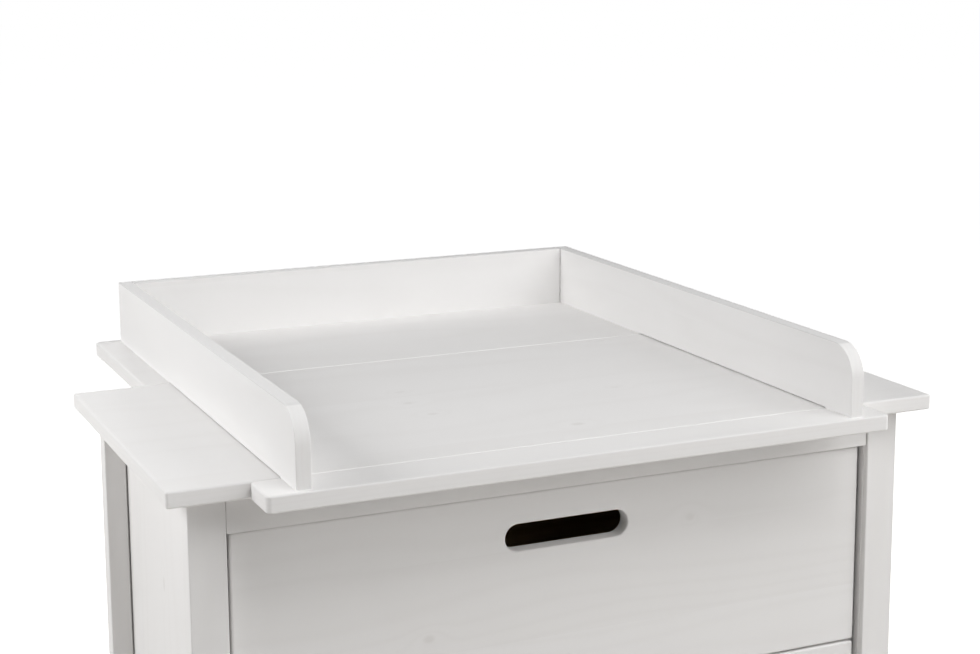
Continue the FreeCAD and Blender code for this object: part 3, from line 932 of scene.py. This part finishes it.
# ---- The dresser's frame ----
@dataclass
class Carcass:
    """The dresser's top, frame, panels and back.

    Attributes:
        arris: The radius of the top's long arrises.
        corner: The radius of the top's upright corners.
        leg_arris, foot_arris: The radius of the legs' arrises, and round their lower ends.
        joint, joint_deep: The thin open joint between a stile and the rails, and its depth.
        panel_gap: The dark gap beside a side panel, in its rebate.
        fit: The play of a panel's edge in its rebate.
        nail_head: The radius of a nail head in the back panel.
        nail_rise: How far a nail head stands out.
        nail_pitch: The distance from nail to nail up the sides.
        nail_inset, nail_end: How far the nails lie inside the panel's sides and its ends.
        nails_across: How many nails there are in a row across.
        nail_sides: How many sides a head has.
    """

    arris: float = 3.0 * MM
    corner: float = 3.4 * MM
    leg_arris: float = 1.8 * MM
    foot_arris: float = 1.0 * MM
    joint: float = 1.0 * MM
    joint_deep: float = 8.0 * MM
    panel_gap: float = 2.2 * MM
    fit: float = 0.3 * MM
    nail_head: float = 2.0 * MM
    nail_rise: float = 0.5 * MM
    nail_pitch: float = 105 * MM
    nail_inset: float = 4.0 * MM
    nail_end: float = 20 * MM
    nails_across: int = 9
    nail_sides: int = 16
    paint: WhitePaint = WhitePaint()
    knots: tuple[Knot, ...] = ()
    panel_knots: tuple[Knot, ...] = ()

    def build(self) -> None:
        """Make the top, the legs and the nails, and dress the rest."""
        top = flat_board("top_panel", "top_board", self.corner, self.arris)
        material = self.paint.make("paint_top", Grain.ALONG_X, 0.31, self.knots)
        settle(top, material, "cabinet", "white_paint", "top_panel")
        self.make_legs()
        self.dress_frame()
        self.make_nails()

    def make_legs(self) -> None:
        """Four legs: each is its plan, with the panels' rebates, raised from glide to top."""
        panel_low, panel_high = corner_box("side_panel_left")
        back_low, _ = corner_box("back_panel")
        reach = abs(panel_low[0]) + self.panel_gap
        for end, seed in (("front", 1.9), ("rear", 3.4)):
            low, high = corner_box(f"leg_{end}_left")
            outside, inside, fore, aft = -low[0], -high[0], low[1], high[1]
            plan = [Corner(outside, y, self.leg_arris) for y in (fore, aft)]
            if end == "front":
                bed = panel_low[1] - self.fit
                slit, stop = inside + self.joint, fore + self.joint_deep
                rest = ((reach, aft), (reach, bed), (inside, bed), (inside, stop), (slit, stop))
                plan += [Corner(*place) for place in rest]
                plan.append(Corner(slit, fore, self.leg_arris))
            else:
                bed, seat = panel_high[1] + self.fit, back_low[1] - self.fit
                wall = self.fit - back_low[0]
                rest = ((wall, aft), (wall, seat), (inside, seat))
                rest += ((inside, bed), (reach, bed), (reach, fore))
                plan += [Corner(*place) for place in rest]
            mirrored = [Corner(-corner.u, corner.v, corner.radius) for corner in reversed(plan)]
            for number, (side, corners) in enumerate((("left", mirrored), ("right", plan))):
                name = f"leg_{end}_{side}"
                outline, tall = outline_of(corners, arc_steps=5), high[2] - low[2]
                foot = (0.0, 0.0, low[2])
                post = Surface().add_board(outline, Plane.FLAT, foot, tall, self.foot_arris, HAIR)
                material = self.paint.make(f"paint_{name}", Grain.ALONG_Z, seed + 0.37 * number)
                settle(post.build(f"{name}_post"), material, "cabinet", "white_paint", name)

    def dress_frame(self) -> None:
        """Finishes of the rails, panels, cleats, runners and glides."""
        paint, pine = self.paint.make, BarePine().make
        for number, side in enumerate(("left", "right")):
            knots = self.panel_knots if side == "left" else ()
            panel = paint(f"paint_panel_{side}", Grain.ALONG_Z_SIDEWAYS, 3.3 + number, knots)
            dress(f"side_panel_{side}", panel)
            dress(f"top_cleat_{side}", pine(f"pine_cleat_{side}", Grain.ALONG_Y, 5.1 + number))
        for number, level in enumerate(("top", "bottom")):
            for end in ("front", "rear"):
                name, seed = f"{level}_rail_{end}", 7.3 + number + len(end)
                dress(name, paint(f"paint_{name}", Grain.ALONG_X_UPRIGHT, seed))
        dress("back_panel", CoatedBoard(into=(0.0, -1.0, 0.0)).make("hardboard_back"))
        dress("foot_glides", MouldedPlastic().make("plastic_glides"))
        for number in (1, 2, 3):
            for side in ("left", "right"):
                name, seed = f"runner_{number}_{side}", 11.0 + 2 * number + len(side)
                dress(name, pine(f"pine_{name}", Grain.ALONG_Y, seed))

    def make_nails(self) -> None:
        """Domed nail heads that hold the back panel, down both sides and along both rails.

        A head is a dome: a ring lies at radius r cos(a) and height h sin(a), for a from 0 to 72
        degrees, closed before and behind by flat faces. Its normal there is the axis plus
        cos(a) / 2 times the way out.
        """
        low, high = corner_box("back_panel")
        across = np.linspace(low[0] + self.nail_inset, high[0] - self.nail_inset, self.nails_across)
        count = int((high[2] - low[2]) / self.nail_pitch)
        up = np.linspace(low[2] + self.nail_end, high[2] - self.nail_end, count)
        rows = [(x, z) for z in (up[0], up[-1]) for x in across]
        rows += [(x, z) for x in (across[0], across[-1]) for z in up[1:-1]]
        surface, axes, circle = Surface(), Plane.FACING_BACK.axes, unit_circle(self.nail_sides)
        rise = np.radians((0.0, 25.0, 50.0, 72.0))[:, None, None]
        dome = (np.cos(rise) * circle * self.nail_head) @ axes[:2]
        dome = dome + np.sin(rise) * self.nail_rise * axes[2]
        tilt = 0.5 * np.cos(rise) * (circle @ axes[:2]) + axes[2]
        tilt /= np.linalg.norm(tilt, axis=2)[..., None]
        after = np.roll(tilt, -1, axis=1)
        normals = np.stack((tilt[:-1], after[:-1], after[1:], tilt[1:]), axis=2)
        for x, z in rows:
            number, quads = surface.add_rings(np.array((x, high[1], z)) + dome)
            surface.add_faces(quads, normals)
            surface.cap(number[-1], axes[2])
            surface.cap(number[0, ::-1], -axes[2])
        nails = surface.build("back_panel_nails")
        settle(nails, ZincSteel().make("steel_nails"), "cabinet", "zinc_steel")


# ---- Drawers ----
@dataclass
class Drawer:
    """One drawer: a painted front with a finger slot, on a box of bare pine.

    Attributes:
        number: Which drawer, counted from the top.
        arris: The radius of the front's outer arrises.
        corner: The radius of the front's corners.
        back_arris: The radius of the arrises behind.
        slot_length, slot_height: The finger slot.
        slot_drop: How far the slot's middle lies under the upper edge.
        rim, back_rim: The radius of the slot's rim, before and behind.
        pieces: How many pieces each side of the front's outline has.
        slot_points: How many points each half circle of the slot has.
    """

    number: int
    arris: float = 3.0 * MM
    corner: float = 3.4 * MM
    back_arris: float = 0.6 * MM
    slot_length: float = 165 * MM
    slot_height: float = 34 * MM
    slot_drop: float = 55 * MM
    rim: float = 1.8 * MM
    back_rim: float = 1.0 * MM
    pieces: int = 24
    slot_points: int = 19
    paint: WhitePaint = WhitePaint()
    knots: tuple[Knot, ...] = ()

    @property
    def body(self) -> str:
        """The body that the drawer is."""
        return f"drawer_{self.number}"

    def build(self) -> None:
        """Make the front and dress the box."""
        self.make_front()
        pine, seed = BarePine().make, 20.0 + 5.0 * self.number
        for side in ("left", "right"):
            name = f"{self.body}_side_{side}"
            dress(name, pine(f"pine_{name}", Grain.ALONG_Y_UPRIGHT, seed + len(side)))
        name = f"{self.body}_back"
        dress(name, pine(f"pine_{name}", Grain.ALONG_X_UPRIGHT, seed + 1.3))
        dress(f"{self.body}_bottom", CoatedBoard().make(f"hardboard_{self.body}"))

    def slot_outline(self, middle: np.ndarray) -> Outline:
        """The finger slot: two straights between two half circles, with the wood outside it.

        Args:
            middle: The slot's middle.

        Returns:
            The outline, walked clockwise.
        """
        radius = self.slot_height / 2
        half = (self.slot_length - self.slot_height) / 2
        turn = np.linspace(0.0, math.pi, self.slot_points)
        out = np.stack((np.sin(turn), np.cos(turn)), axis=1)
        right = radius * out + (half, 0.0)
        out = np.vstack((out, -out))
        points = np.vstack((right, -right)) + middle
        return Outline(points, -out, -np.roll(out, -1, axis=0), np.ones(len(points)))

    def make_front(self) -> None:
        """The front: a board with a slot right through it."""
        low, high = corner_box(f"{self.body}_front")
        width, thick, height = high - low
        axes, origin = Plane.FACING_FRONT.axes, np.array((low[0], high[1], low[2]))
        middle = np.array((width / 2, height - self.slot_drop))
        surface = Surface()
        profile = edge_profile(thick, self.back_arris, self.arris)
        board = rectangle(width, height, self.corner, self.pieces)
        outer = surface.add_wall(board, profile, axes, origin)
        profile = edge_profile(thick, self.back_rim, self.rim)
        inner = surface.add_wall(self.slot_outline(middle), profile, axes, origin)
        about = origin @ axes[:2].T + middle
        surface.add_pierced_face(outer[-1], inner[-1], about, axes, True)
        surface.add_pierced_face(outer[0], inner[0], about, axes, False)
        front = surface.build(f"{self.body}_front_board")
        name, seed = f"paint_{self.body}", 0.45 + 2.2 * self.number
        material = self.paint.make(name, Grain.ALONG_X_UPRIGHT, seed, self.knots)
        settle(front, material, self.body, "white_paint", f"{self.body}_front")


# ---- Changing unit ----
@dataclass
class ChangingUnit:
    """The two planks level with the top, and the three boards round the mat's place.

    Attributes:
        arris: The radius of the planks' arrises.
        corner: The radius of the planks' upright corners.
        board_arris: The radius of the boards' arrises.
        board_corner: The large radius at the side boards' upper front corner.
        end_round: The radius at the side boards' upper back corner.
        shoulder: The radius of the back board's upright arrises, at the joints.
        tongue, tongue_round: The thickness of the back board's tongues, and their corners.
        overlap: How far a tongue reaches into its board.
        joint: The thin gap between the back board's shoulders and the side boards.
        pad_width, pad_length: The size of a felt pad.
        pad_round, pad_arris: The radius of the pads' corners and of their arrises.
    """

    arris: float = 2.6 * MM
    corner: float = 6.5 * MM
    board_arris: float = 1.1 * MM
    board_corner: float = 40 * MM
    end_round: float = 2.6 * MM
    shoulder: float = 1.2 * MM
    tongue: float = 8 * MM
    tongue_round: float = 0.5 * MM
    overlap: float = 2 * MM
    joint: float = 0.6 * MM
    pad_width: float = 14 * MM
    pad_length: float = 40 * MM
    pad_round: float = 3 * MM
    pad_arris: float = 0.2 * MM
    paint: WhitePaint = WhitePaint()
    # painted light and shade: a lighter copy of the paint, darker on the boards' upper edges
    painted_light_board_paint: WhitePaint = WhitePaint(
        light=opaque(0.892, 0.885, 0.880), late_wood=opaque(0.820, 0.808, 0.797), shaded_top_height=1.0262
    )

    def build(self) -> None:
        """Make the planks, the boards and the pads."""
        for seed, node in ((2.6, "front_plank"), (4.15, "back_plank")):
            plank = flat_board(node, f"{node}_board", self.corner, self.arris)
            material = self.paint.make(f"paint_{node}", Grain.ALONG_X, seed)
            settle(plank, material, "cabinet", "white_paint", node)
        for seed, side in ((6.2, "left"), (8.9, "right")):
            self.make_side(side, seed)
        self.make_back()
        self.make_pads()

    def make_side(self, side: str, seed: float) -> None:
        """A side board: a large round corner in front, and a relief over the dresser's top.

        Args:
            side: Which side, left or right.
            seed: A number that makes its grain its own.
        """
        node = f"changing_side_{side}"
        low, high = corner_box(node)
        top_low, top_high = corner_box("top_panel")
        _, pads_high = corner_box("unit_pads")
        width, length, height = high - low
        relief = pads_high[2] - low[2]
        front, back = top_low[1] - low[1], top_high[1] - low[1]
        below = ((0.0, 0.0), (front, 0.0), (front, relief), (back, relief), (back, 0.0))
        corners = [Corner(*place, arris=0.0) for place in below]
        corners.append(Corner(length, 0.0))
        corners.append(Corner(length, height, self.end_round))
        corners.append(Corner(0.0, height, self.board_corner))
        outline, arris = outline_of(corners, arc_steps=20), self.board_arris
        board = Surface().add_board(outline, Plane.FACING_RIGHT, low, width, arris, arris)
        # painted light: the side board takes the lighter paint, with painted shade on its upper
        # edge
        material = self.painted_light_board_paint.make(f"paint_{node}", Grain.ALONG_Y_UPRIGHT, seed)
        settle(board.build(f"{node}_board"), material, "cabinet", "white_paint", node)

    def make_back(self) -> None:
        """The back board between the side boards, with a hidden tongue at each end."""
        low, high = corner_box("changing_back")
        _, left_high = corner_box("changing_side_left")
        width, depth, height = high - low
        shoulder = left_high[0] + self.joint - low[0]
        surface = Surface()
        board = rectangle(width - 2 * shoulder, depth, self.shoulder)
        place = low + (shoulder, 0.0, 0.0)
        surface.add_board(board, Plane.FLAT, place, height, HAIR, self.shoulder)
        tongue = rectangle(shoulder + self.overlap, self.tongue, self.tongue_round)
        for x in (low[0], high[0] - shoulder - self.overlap):
            place = (x, low[1] + (depth - self.tongue) / 2, low[2])
            surface.add_board(tongue, Plane.FLAT, place, height - shoulder, HAIR, HAIR)
        # painted light: the back board takes the lighter paint, with painted shade on its upper
        # edge
        material = self.painted_light_board_paint.make("paint_changing_back", Grain.ALONG_X_UPRIGHT, 1.05)
        board = surface.build("changing_back_board")
        settle(board, material, "cabinet", "white_paint", "changing_back")

    def make_pads(self) -> None:
        """Felt pads with round corners between the side boards and the dresser's top."""
        felt = Felt().make("felt_pads")
        low, high = corner_box("unit_pads")
        top_low, top_high = corner_box("top_panel")
        width, length, thick = self.pad_width, self.pad_length, high[2] - low[2]
        outline, arris = rectangle(width, length, self.pad_round), self.pad_arris
        middles = (low[1] + length / 2, (top_low[1] + top_high[1]) / 2, high[1] - length / 2)
        for side, x in (("left", low[0]), ("right", high[0] - width)):
            for number, y in enumerate(middles, start=1):
                place = (x, y - length / 2, low[2])
                pad = Surface().add_board(outline, Plane.FLAT, place, thick, arris, arris)
                nodes = ("unit_pads",) if side == "left" and number == 1 else ()
                settle(pad.build(f"felt_pad_{side}_{number}"), felt, "cabinet", "grey_felt", *nodes)


# ---- Steel fittings ----
@dataclass
class Fittings:
    """Plates and brackets under the unit, and their countersunk screws.

    Attributes:
        inset: How far a screw lies inside the end of a plate or an arm.
        plate_half, arm_half: Half the width of a plate and of a bracket.
        arm_thick: The thickness of a bracket.
        head: The radius of a screw's head.
        head_deep: How deep the countersunk head is.
        shank: The radius of the shank.
        length, point: The screw's whole length, and that of its point.
        thread_pitch: The distance from thread to thread.
        thread_rise: How far a thread stands out of its root.
        thread_steep: How steep its flanks are.
        point_share, eye_share: The smallest radius at the point and on the head's face, as a
            share of the whole radius.
        recess: Half the length of the cross in the head.
        recess_wide: Half the width of the cross.
        recess_deep, recess_soft: The depth of the cross, and the width of its sloping sides.
        sides, head_rings, shank_rings: How finely a screw is made.
    """

    inset: float = 12 * MM
    plate_half: float = 12.5 * MM
    arm_half: float = 15 * MM
    arm_thick: float = 3 * MM
    head: float = 4.0 * MM
    head_deep: float = 2.2 * MM
    shank: float = 2.0 * MM
    length: float = 18 * MM
    point: float = 3 * MM
    thread_pitch: float = 1.8 * MM
    thread_rise: float = 0.5 * MM
    thread_steep: float = 4.5
    point_share: float = 0.02
    eye_share: float = 0.06
    recess: float = 2.1 * MM
    recess_wide: float = 0.55 * MM
    recess_deep: float = 1.4 * MM
    recess_soft: float = 0.3 * MM
    sides: int = 40
    head_rings: int = 12
    shank_rings: int = 70

    def build(self) -> None:
        """Dress the steel and make the screws."""
        steel = ZincSteel().make("steel_fittings")
        dress("front_plates", steel)
        dress("back_brackets", steel)
        self.make_screws()

    def places(self) -> list[tuple[np.ndarray, Plane]]:
        """Where each screw's head lies, and the way that its head looks.

        Returns:
            A place and a plane for each screw.
        """
        low, high = corner_box("front_plates")
        found = [
            (np.array((x, y, low[2])), Plane.FACING_DOWN)
            for x in (low[0] + self.plate_half, high[0] - self.plate_half)
            for y in (low[1] + self.inset, high[1] - self.inset)
        ]
        low, high = corner_box("back_brackets")
        for x in (low[0] + self.arm_half, high[0] - self.arm_half):
            under = (x, high[1] - self.inset, high[2] - self.arm_thick)
            behind = (x, low[1] + self.arm_thick, low[2] + self.inset)
            found.append((np.array(under), Plane.FACING_DOWN))
            found.append((np.array(behind), Plane.FACING_BACK))
        return found

    def cross_depth(self, u: np.ndarray, v: np.ndarray) -> np.ndarray:
        """How deep the cross is at places of a head's face.

        An arm is full where its own two distances lie inside its half length and half width, and
        it fades out over the width of its sloping sides. The cross is the deeper of two arms.

        Args:
            u: The places' first coordinate.
            v: The second.

        Returns:
            The depths.
        """

        def arm(along: np.ndarray, across: np.ndarray) -> np.ndarray:
            """How full one arm is.

            Args:
                along: The places' distance along the arm.
                across: Their distance across it.

            Returns:
                The share of the full depth, from 0 to 1.
            """
            wide = np.clip((self.recess_wide - np.abs(across)) / self.recess_soft + 0.5, 0.0, 1.0)
            long = np.clip((self.recess - np.abs(along)) / self.recess_soft + 0.5, 0.0, 1.0)
            return wide * long

        return np.maximum(arm(u, v), arm(v, u)) * self.recess_deep

    def make_screws(self) -> None:
        """Turn every screw: rings of a head, a threaded shank and a point.

        The shank's radius at height h and angle a is the root plus a ridge that follows
        (h / pitch - a / turn), so the ridge is a helix. The head's face is a grid of rings whose
        depth is that of a cross, smooth at its sides.
        """
        circle, turn = unit_circle(self.sides), np.arange(self.sides) / self.sides
        depth = np.linspace(self.head_deep, self.length, self.shank_rings)[:, None]
        off_ridge = np.abs((depth / self.thread_pitch - turn) % 1.0 - 0.5)
        ridge = self.thread_rise * np.clip(1.0 - off_ridge * self.thread_steep, 0.0, 1.0)
        taper = np.clip((self.length - depth) / self.point, self.point_share, 1.0)
        shank = (self.shank - self.thread_rise + ridge) * taper
        reach = np.linspace(self.eye_share, 1.0, self.head_rings)[:, None] * self.head
        face = self.cross_depth(reach * circle[:, 0], reach * circle[:, 1])
        rings = np.vstack((np.repeat(reach, self.sides, axis=1), shank))
        deep = np.vstack((face, np.repeat(depth, self.sides, axis=1)))
        surface = Surface()
        for middle, plane in self.places():
            axes = plane.axes
            flat = rings[..., None] * circle
            space = middle + flat @ axes[:2] - deep[..., None] * axes[2]
            number, quads = surface.add_rings(space)
            quads = quads[:, (0, 3, 2, 1)]  # each ring lies below the last, so they turn round
            corner = np.vstack(surface.points)[quads]
            facing = np.cross(corner[:, 2] - corner[:, 0], corner[:, 3] - corner[:, 1])
            facing /= np.maximum(np.linalg.norm(facing, axis=1), TINY)[:, None]
            surface.add_faces(quads, np.repeat(facing[:, None], 4, axis=1))
            surface.cap(number[0], axes[2])
            surface.cap(number[-1, ::-1], -axes[2])
        screws = surface.build("countersunk_screws")
        settle(screws, ZincSteel().make("steel_screws"), "cabinet", "zinc_steel", "fitting_screws")


# ---- Studio ----
@dataclass(frozen=True)
class Lamp:
    """A soft lamp: where it stands, its size, its power in watts and where it points."""

    name: str
    place: tuple[float, float, float]
    width: float
    height: float
    power: float
    target: tuple[float, float, float] = (0.0, -0.1, 0.85)

    def light(self) -> None:
        """Put the lamp in the scene."""
        data = bpy.data.lights.new(self.name, "AREA")
        data.shape = "RECTANGLE"
        data.size, data.size_y = self.width, self.height
        data.energy = self.power
        lamp = bpy.data.objects.new(self.name, data)
        bpy.context.scene.collection.objects.link(lamp)
        way = Vector(self.target) - Vector(self.place)
        turned = way.to_track_quat("-Z", "Y").to_matrix().to_4x4()
        lamp.matrix_world = Matrix.Translation(self.place) @ turned


@dataclass(frozen=True)
class Studio:
    """The floor, the white surroundings, the lamps and the camera of the photograph's view.

    Attributes:
        eye: The camera's place.
        heading: How far the view turns from straight back towards the right.
        pitch: How far it looks down.
        roll: How far it leans.
        lens, frame_width: The focal length and the width of the frame, in millimetres.
        rise: The frame's vertical shift, as a share of its width.
        sight: How far the camera sees.
        floor_size: The length of the floor's side.
        floor_colour, floor_rough: The floor's own colour and roughness.
        near_glow: How white the floor shows near the object before any lamp lights it.
        near, far: How far from the object the floor starts and ends its change to full white.
    """

    eye: tuple[float, float, float] = (-0.9565, -2.2326, 1.5245)
    heading: float = 24.05
    pitch: float = 9.9
    roll: float = -0.31
    lens: float = 67.886
    frame_width: float = 36.0
    rise: float = -0.0714
    sight: float = 200.0
    floor_size: float = 60.0
    floor_colour: Colour = opaque(0.88, 0.856, 0.826)
    floor_rough: float = 0.9
    near_glow: float = 0.42
    near: float = 0.75
    far: float = 1.65
    lamps: tuple[Lamp, ...] = (
        Lamp("lamp_right", (1.72, -2.32, 2.72), 2.8, 2.8, 67.0),
        Lamp("lamp_high", (0.0, -2.0, 3.95), 1.6, 1.6, 39.5),
        Lamp("lamp_left", (-2.15, 0.2, 1.92), 1.4, 1.4, 36.5),
        Lamp("lamp_front", (0.5, -3.0, 2.1), 1.8, 1.2, 5.2),
        Lamp("lamp_side", (3.4, 0.5, 0.95), 1.8, 1.4, 27.0, (0.0, 0.1, 0.6)),
        Lamp("lamp_rear", (0.4, 3.5, 1.0), 2.0, 1.4, 34.0, (0.0, 0.1, 0.6)),
    )

    def build(self) -> None:
        """Set up everything round the object."""
        bpy.context.scene.view_settings.view_transform = "Standard"
        self.make_world()
        self.make_floor()
        for lamp in self.lamps:
            lamp.light()
        self.make_camera()

    def make_world(self) -> None:
        """White where the camera, a reflection or glass looks at it, and dark elsewhere."""
        world = bpy.data.worlds.new("surroundings")
        bpy.context.scene.world = world
        world.use_nodes = True
        nodes = Nodes(world.node_tree)
        background = world.node_tree.nodes["Background"]
        nodes.feed(background.inputs["Color"], WHITE)
        nodes.feed(background.inputs["Strength"], nodes.seen_directly())

    def make_floor(self) -> None:
        """A pale floor that shows white where it is lit and keeps the object's shadow."""
        half = self.floor_size / 2
        corners = [(-half, -half, 0), (half, -half, 0), (half, half, 0), (-half, half, 0)]
        mesh = bpy.data.meshes.new("studio_floor")
        mesh.from_pydata(corners, [], [(0, 1, 2, 3)])
        floor = bpy.data.objects.new("studio_floor", mesh)
        bpy.context.scene.collection.objects.link(floor)
        shader = Shader("studio_floor")
        shader.look(self.floor_colour, self.floor_rough, shine=0.0)
        away = shader.measure("LENGTH", shader.place)
        glow = shader.fade(away, self.near, self.far, self.near_glow, 1.0, "LINEAR")
        shader.feed(shader.surface.inputs["Emission Color"], WHITE)
        shader.feed(shader.surface.inputs["Emission Strength"], shader.seen_directly() * glow)
        mesh.materials.append(shader.material)

    def make_camera(self) -> None:
        """The camera, turned by its heading, its pitch and its roll."""
        yaw, pitch, roll = (math.radians(angle) for angle in (self.heading, self.pitch, self.roll))
        level, down = math.cos(pitch), math.sin(pitch)
        ahead = Vector((math.sin(yaw) * level, math.cos(yaw) * level, -down))
        right = Vector((math.cos(yaw), -math.sin(yaw), 0.0))
        up = right.cross(ahead)
        cos, sin = math.cos(roll), math.sin(roll)
        right, up = right * cos + up * sin, up * cos - right * sin
        data = bpy.data.cameras.new("camera")
        data.sensor_fit = "HORIZONTAL"
        data.sensor_width = self.frame_width
        data.lens = self.lens
        data.shift_y = self.rise
        data.clip_end = self.sight
        camera = bpy.data.objects.new("camera", data)
        bpy.context.scene.collection.objects.link(camera)
        turned = Matrix((right, up, -ahead)).transposed().to_4x4()
        camera.matrix_world = Matrix.Translation(self.eye) @ turned
        bpy.context.scene.camera = camera


# knots that show through the paint: on the top board, on the upper drawer and on the left panel
TOP = 0.940
TOP_KNOTS = (
    Knot(-0.113, -0.054, TOP, 9 * MM, 5 * MM, 0.8),
    Knot(-0.125, -0.112, TOP, 8 * MM, 6 * MM),
    Knot(-0.117, -0.175, TOP, 9 * MM, 6 * MM, 0.9),
    Knot(0.024, -0.294, TOP, 10 * MM, 7 * MM),
    Knot(0.151, -0.149, TOP, 8 * MM, 5 * MM, 0.7),
    Knot(0.262, 0.106, TOP, 9 * MM, 5 * MM, 0.6),
)
FRONT = -0.3145
DRAWER_KNOTS = (
    Knot(0.170, FRONT, 0.809, 8 * MM, 6 * MM, 0.8),
    Knot(-0.182, FRONT, 0.707, 9 * MM, 6 * MM),
)
PANEL_KNOTS = (Knot(-0.441, -0.090, 0.741, 12 * MM, 6 * MM),)


def main() -> None:
    """Build the object and its studio, and report each piece."""
    logging.basicConfig(level=logging.INFO, format="%(name)s: %(message)s")
    Carcass(knots=TOP_KNOTS, panel_knots=PANEL_KNOTS).build()
    for number in (1, 2, 3):
        Drawer(number, knots=DRAWER_KNOTS if number == 1 else ()).build()
    ChangingUnit().build()
    Fittings().build()
    Studio().build()


if __name__ == "__main__":
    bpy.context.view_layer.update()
    main()
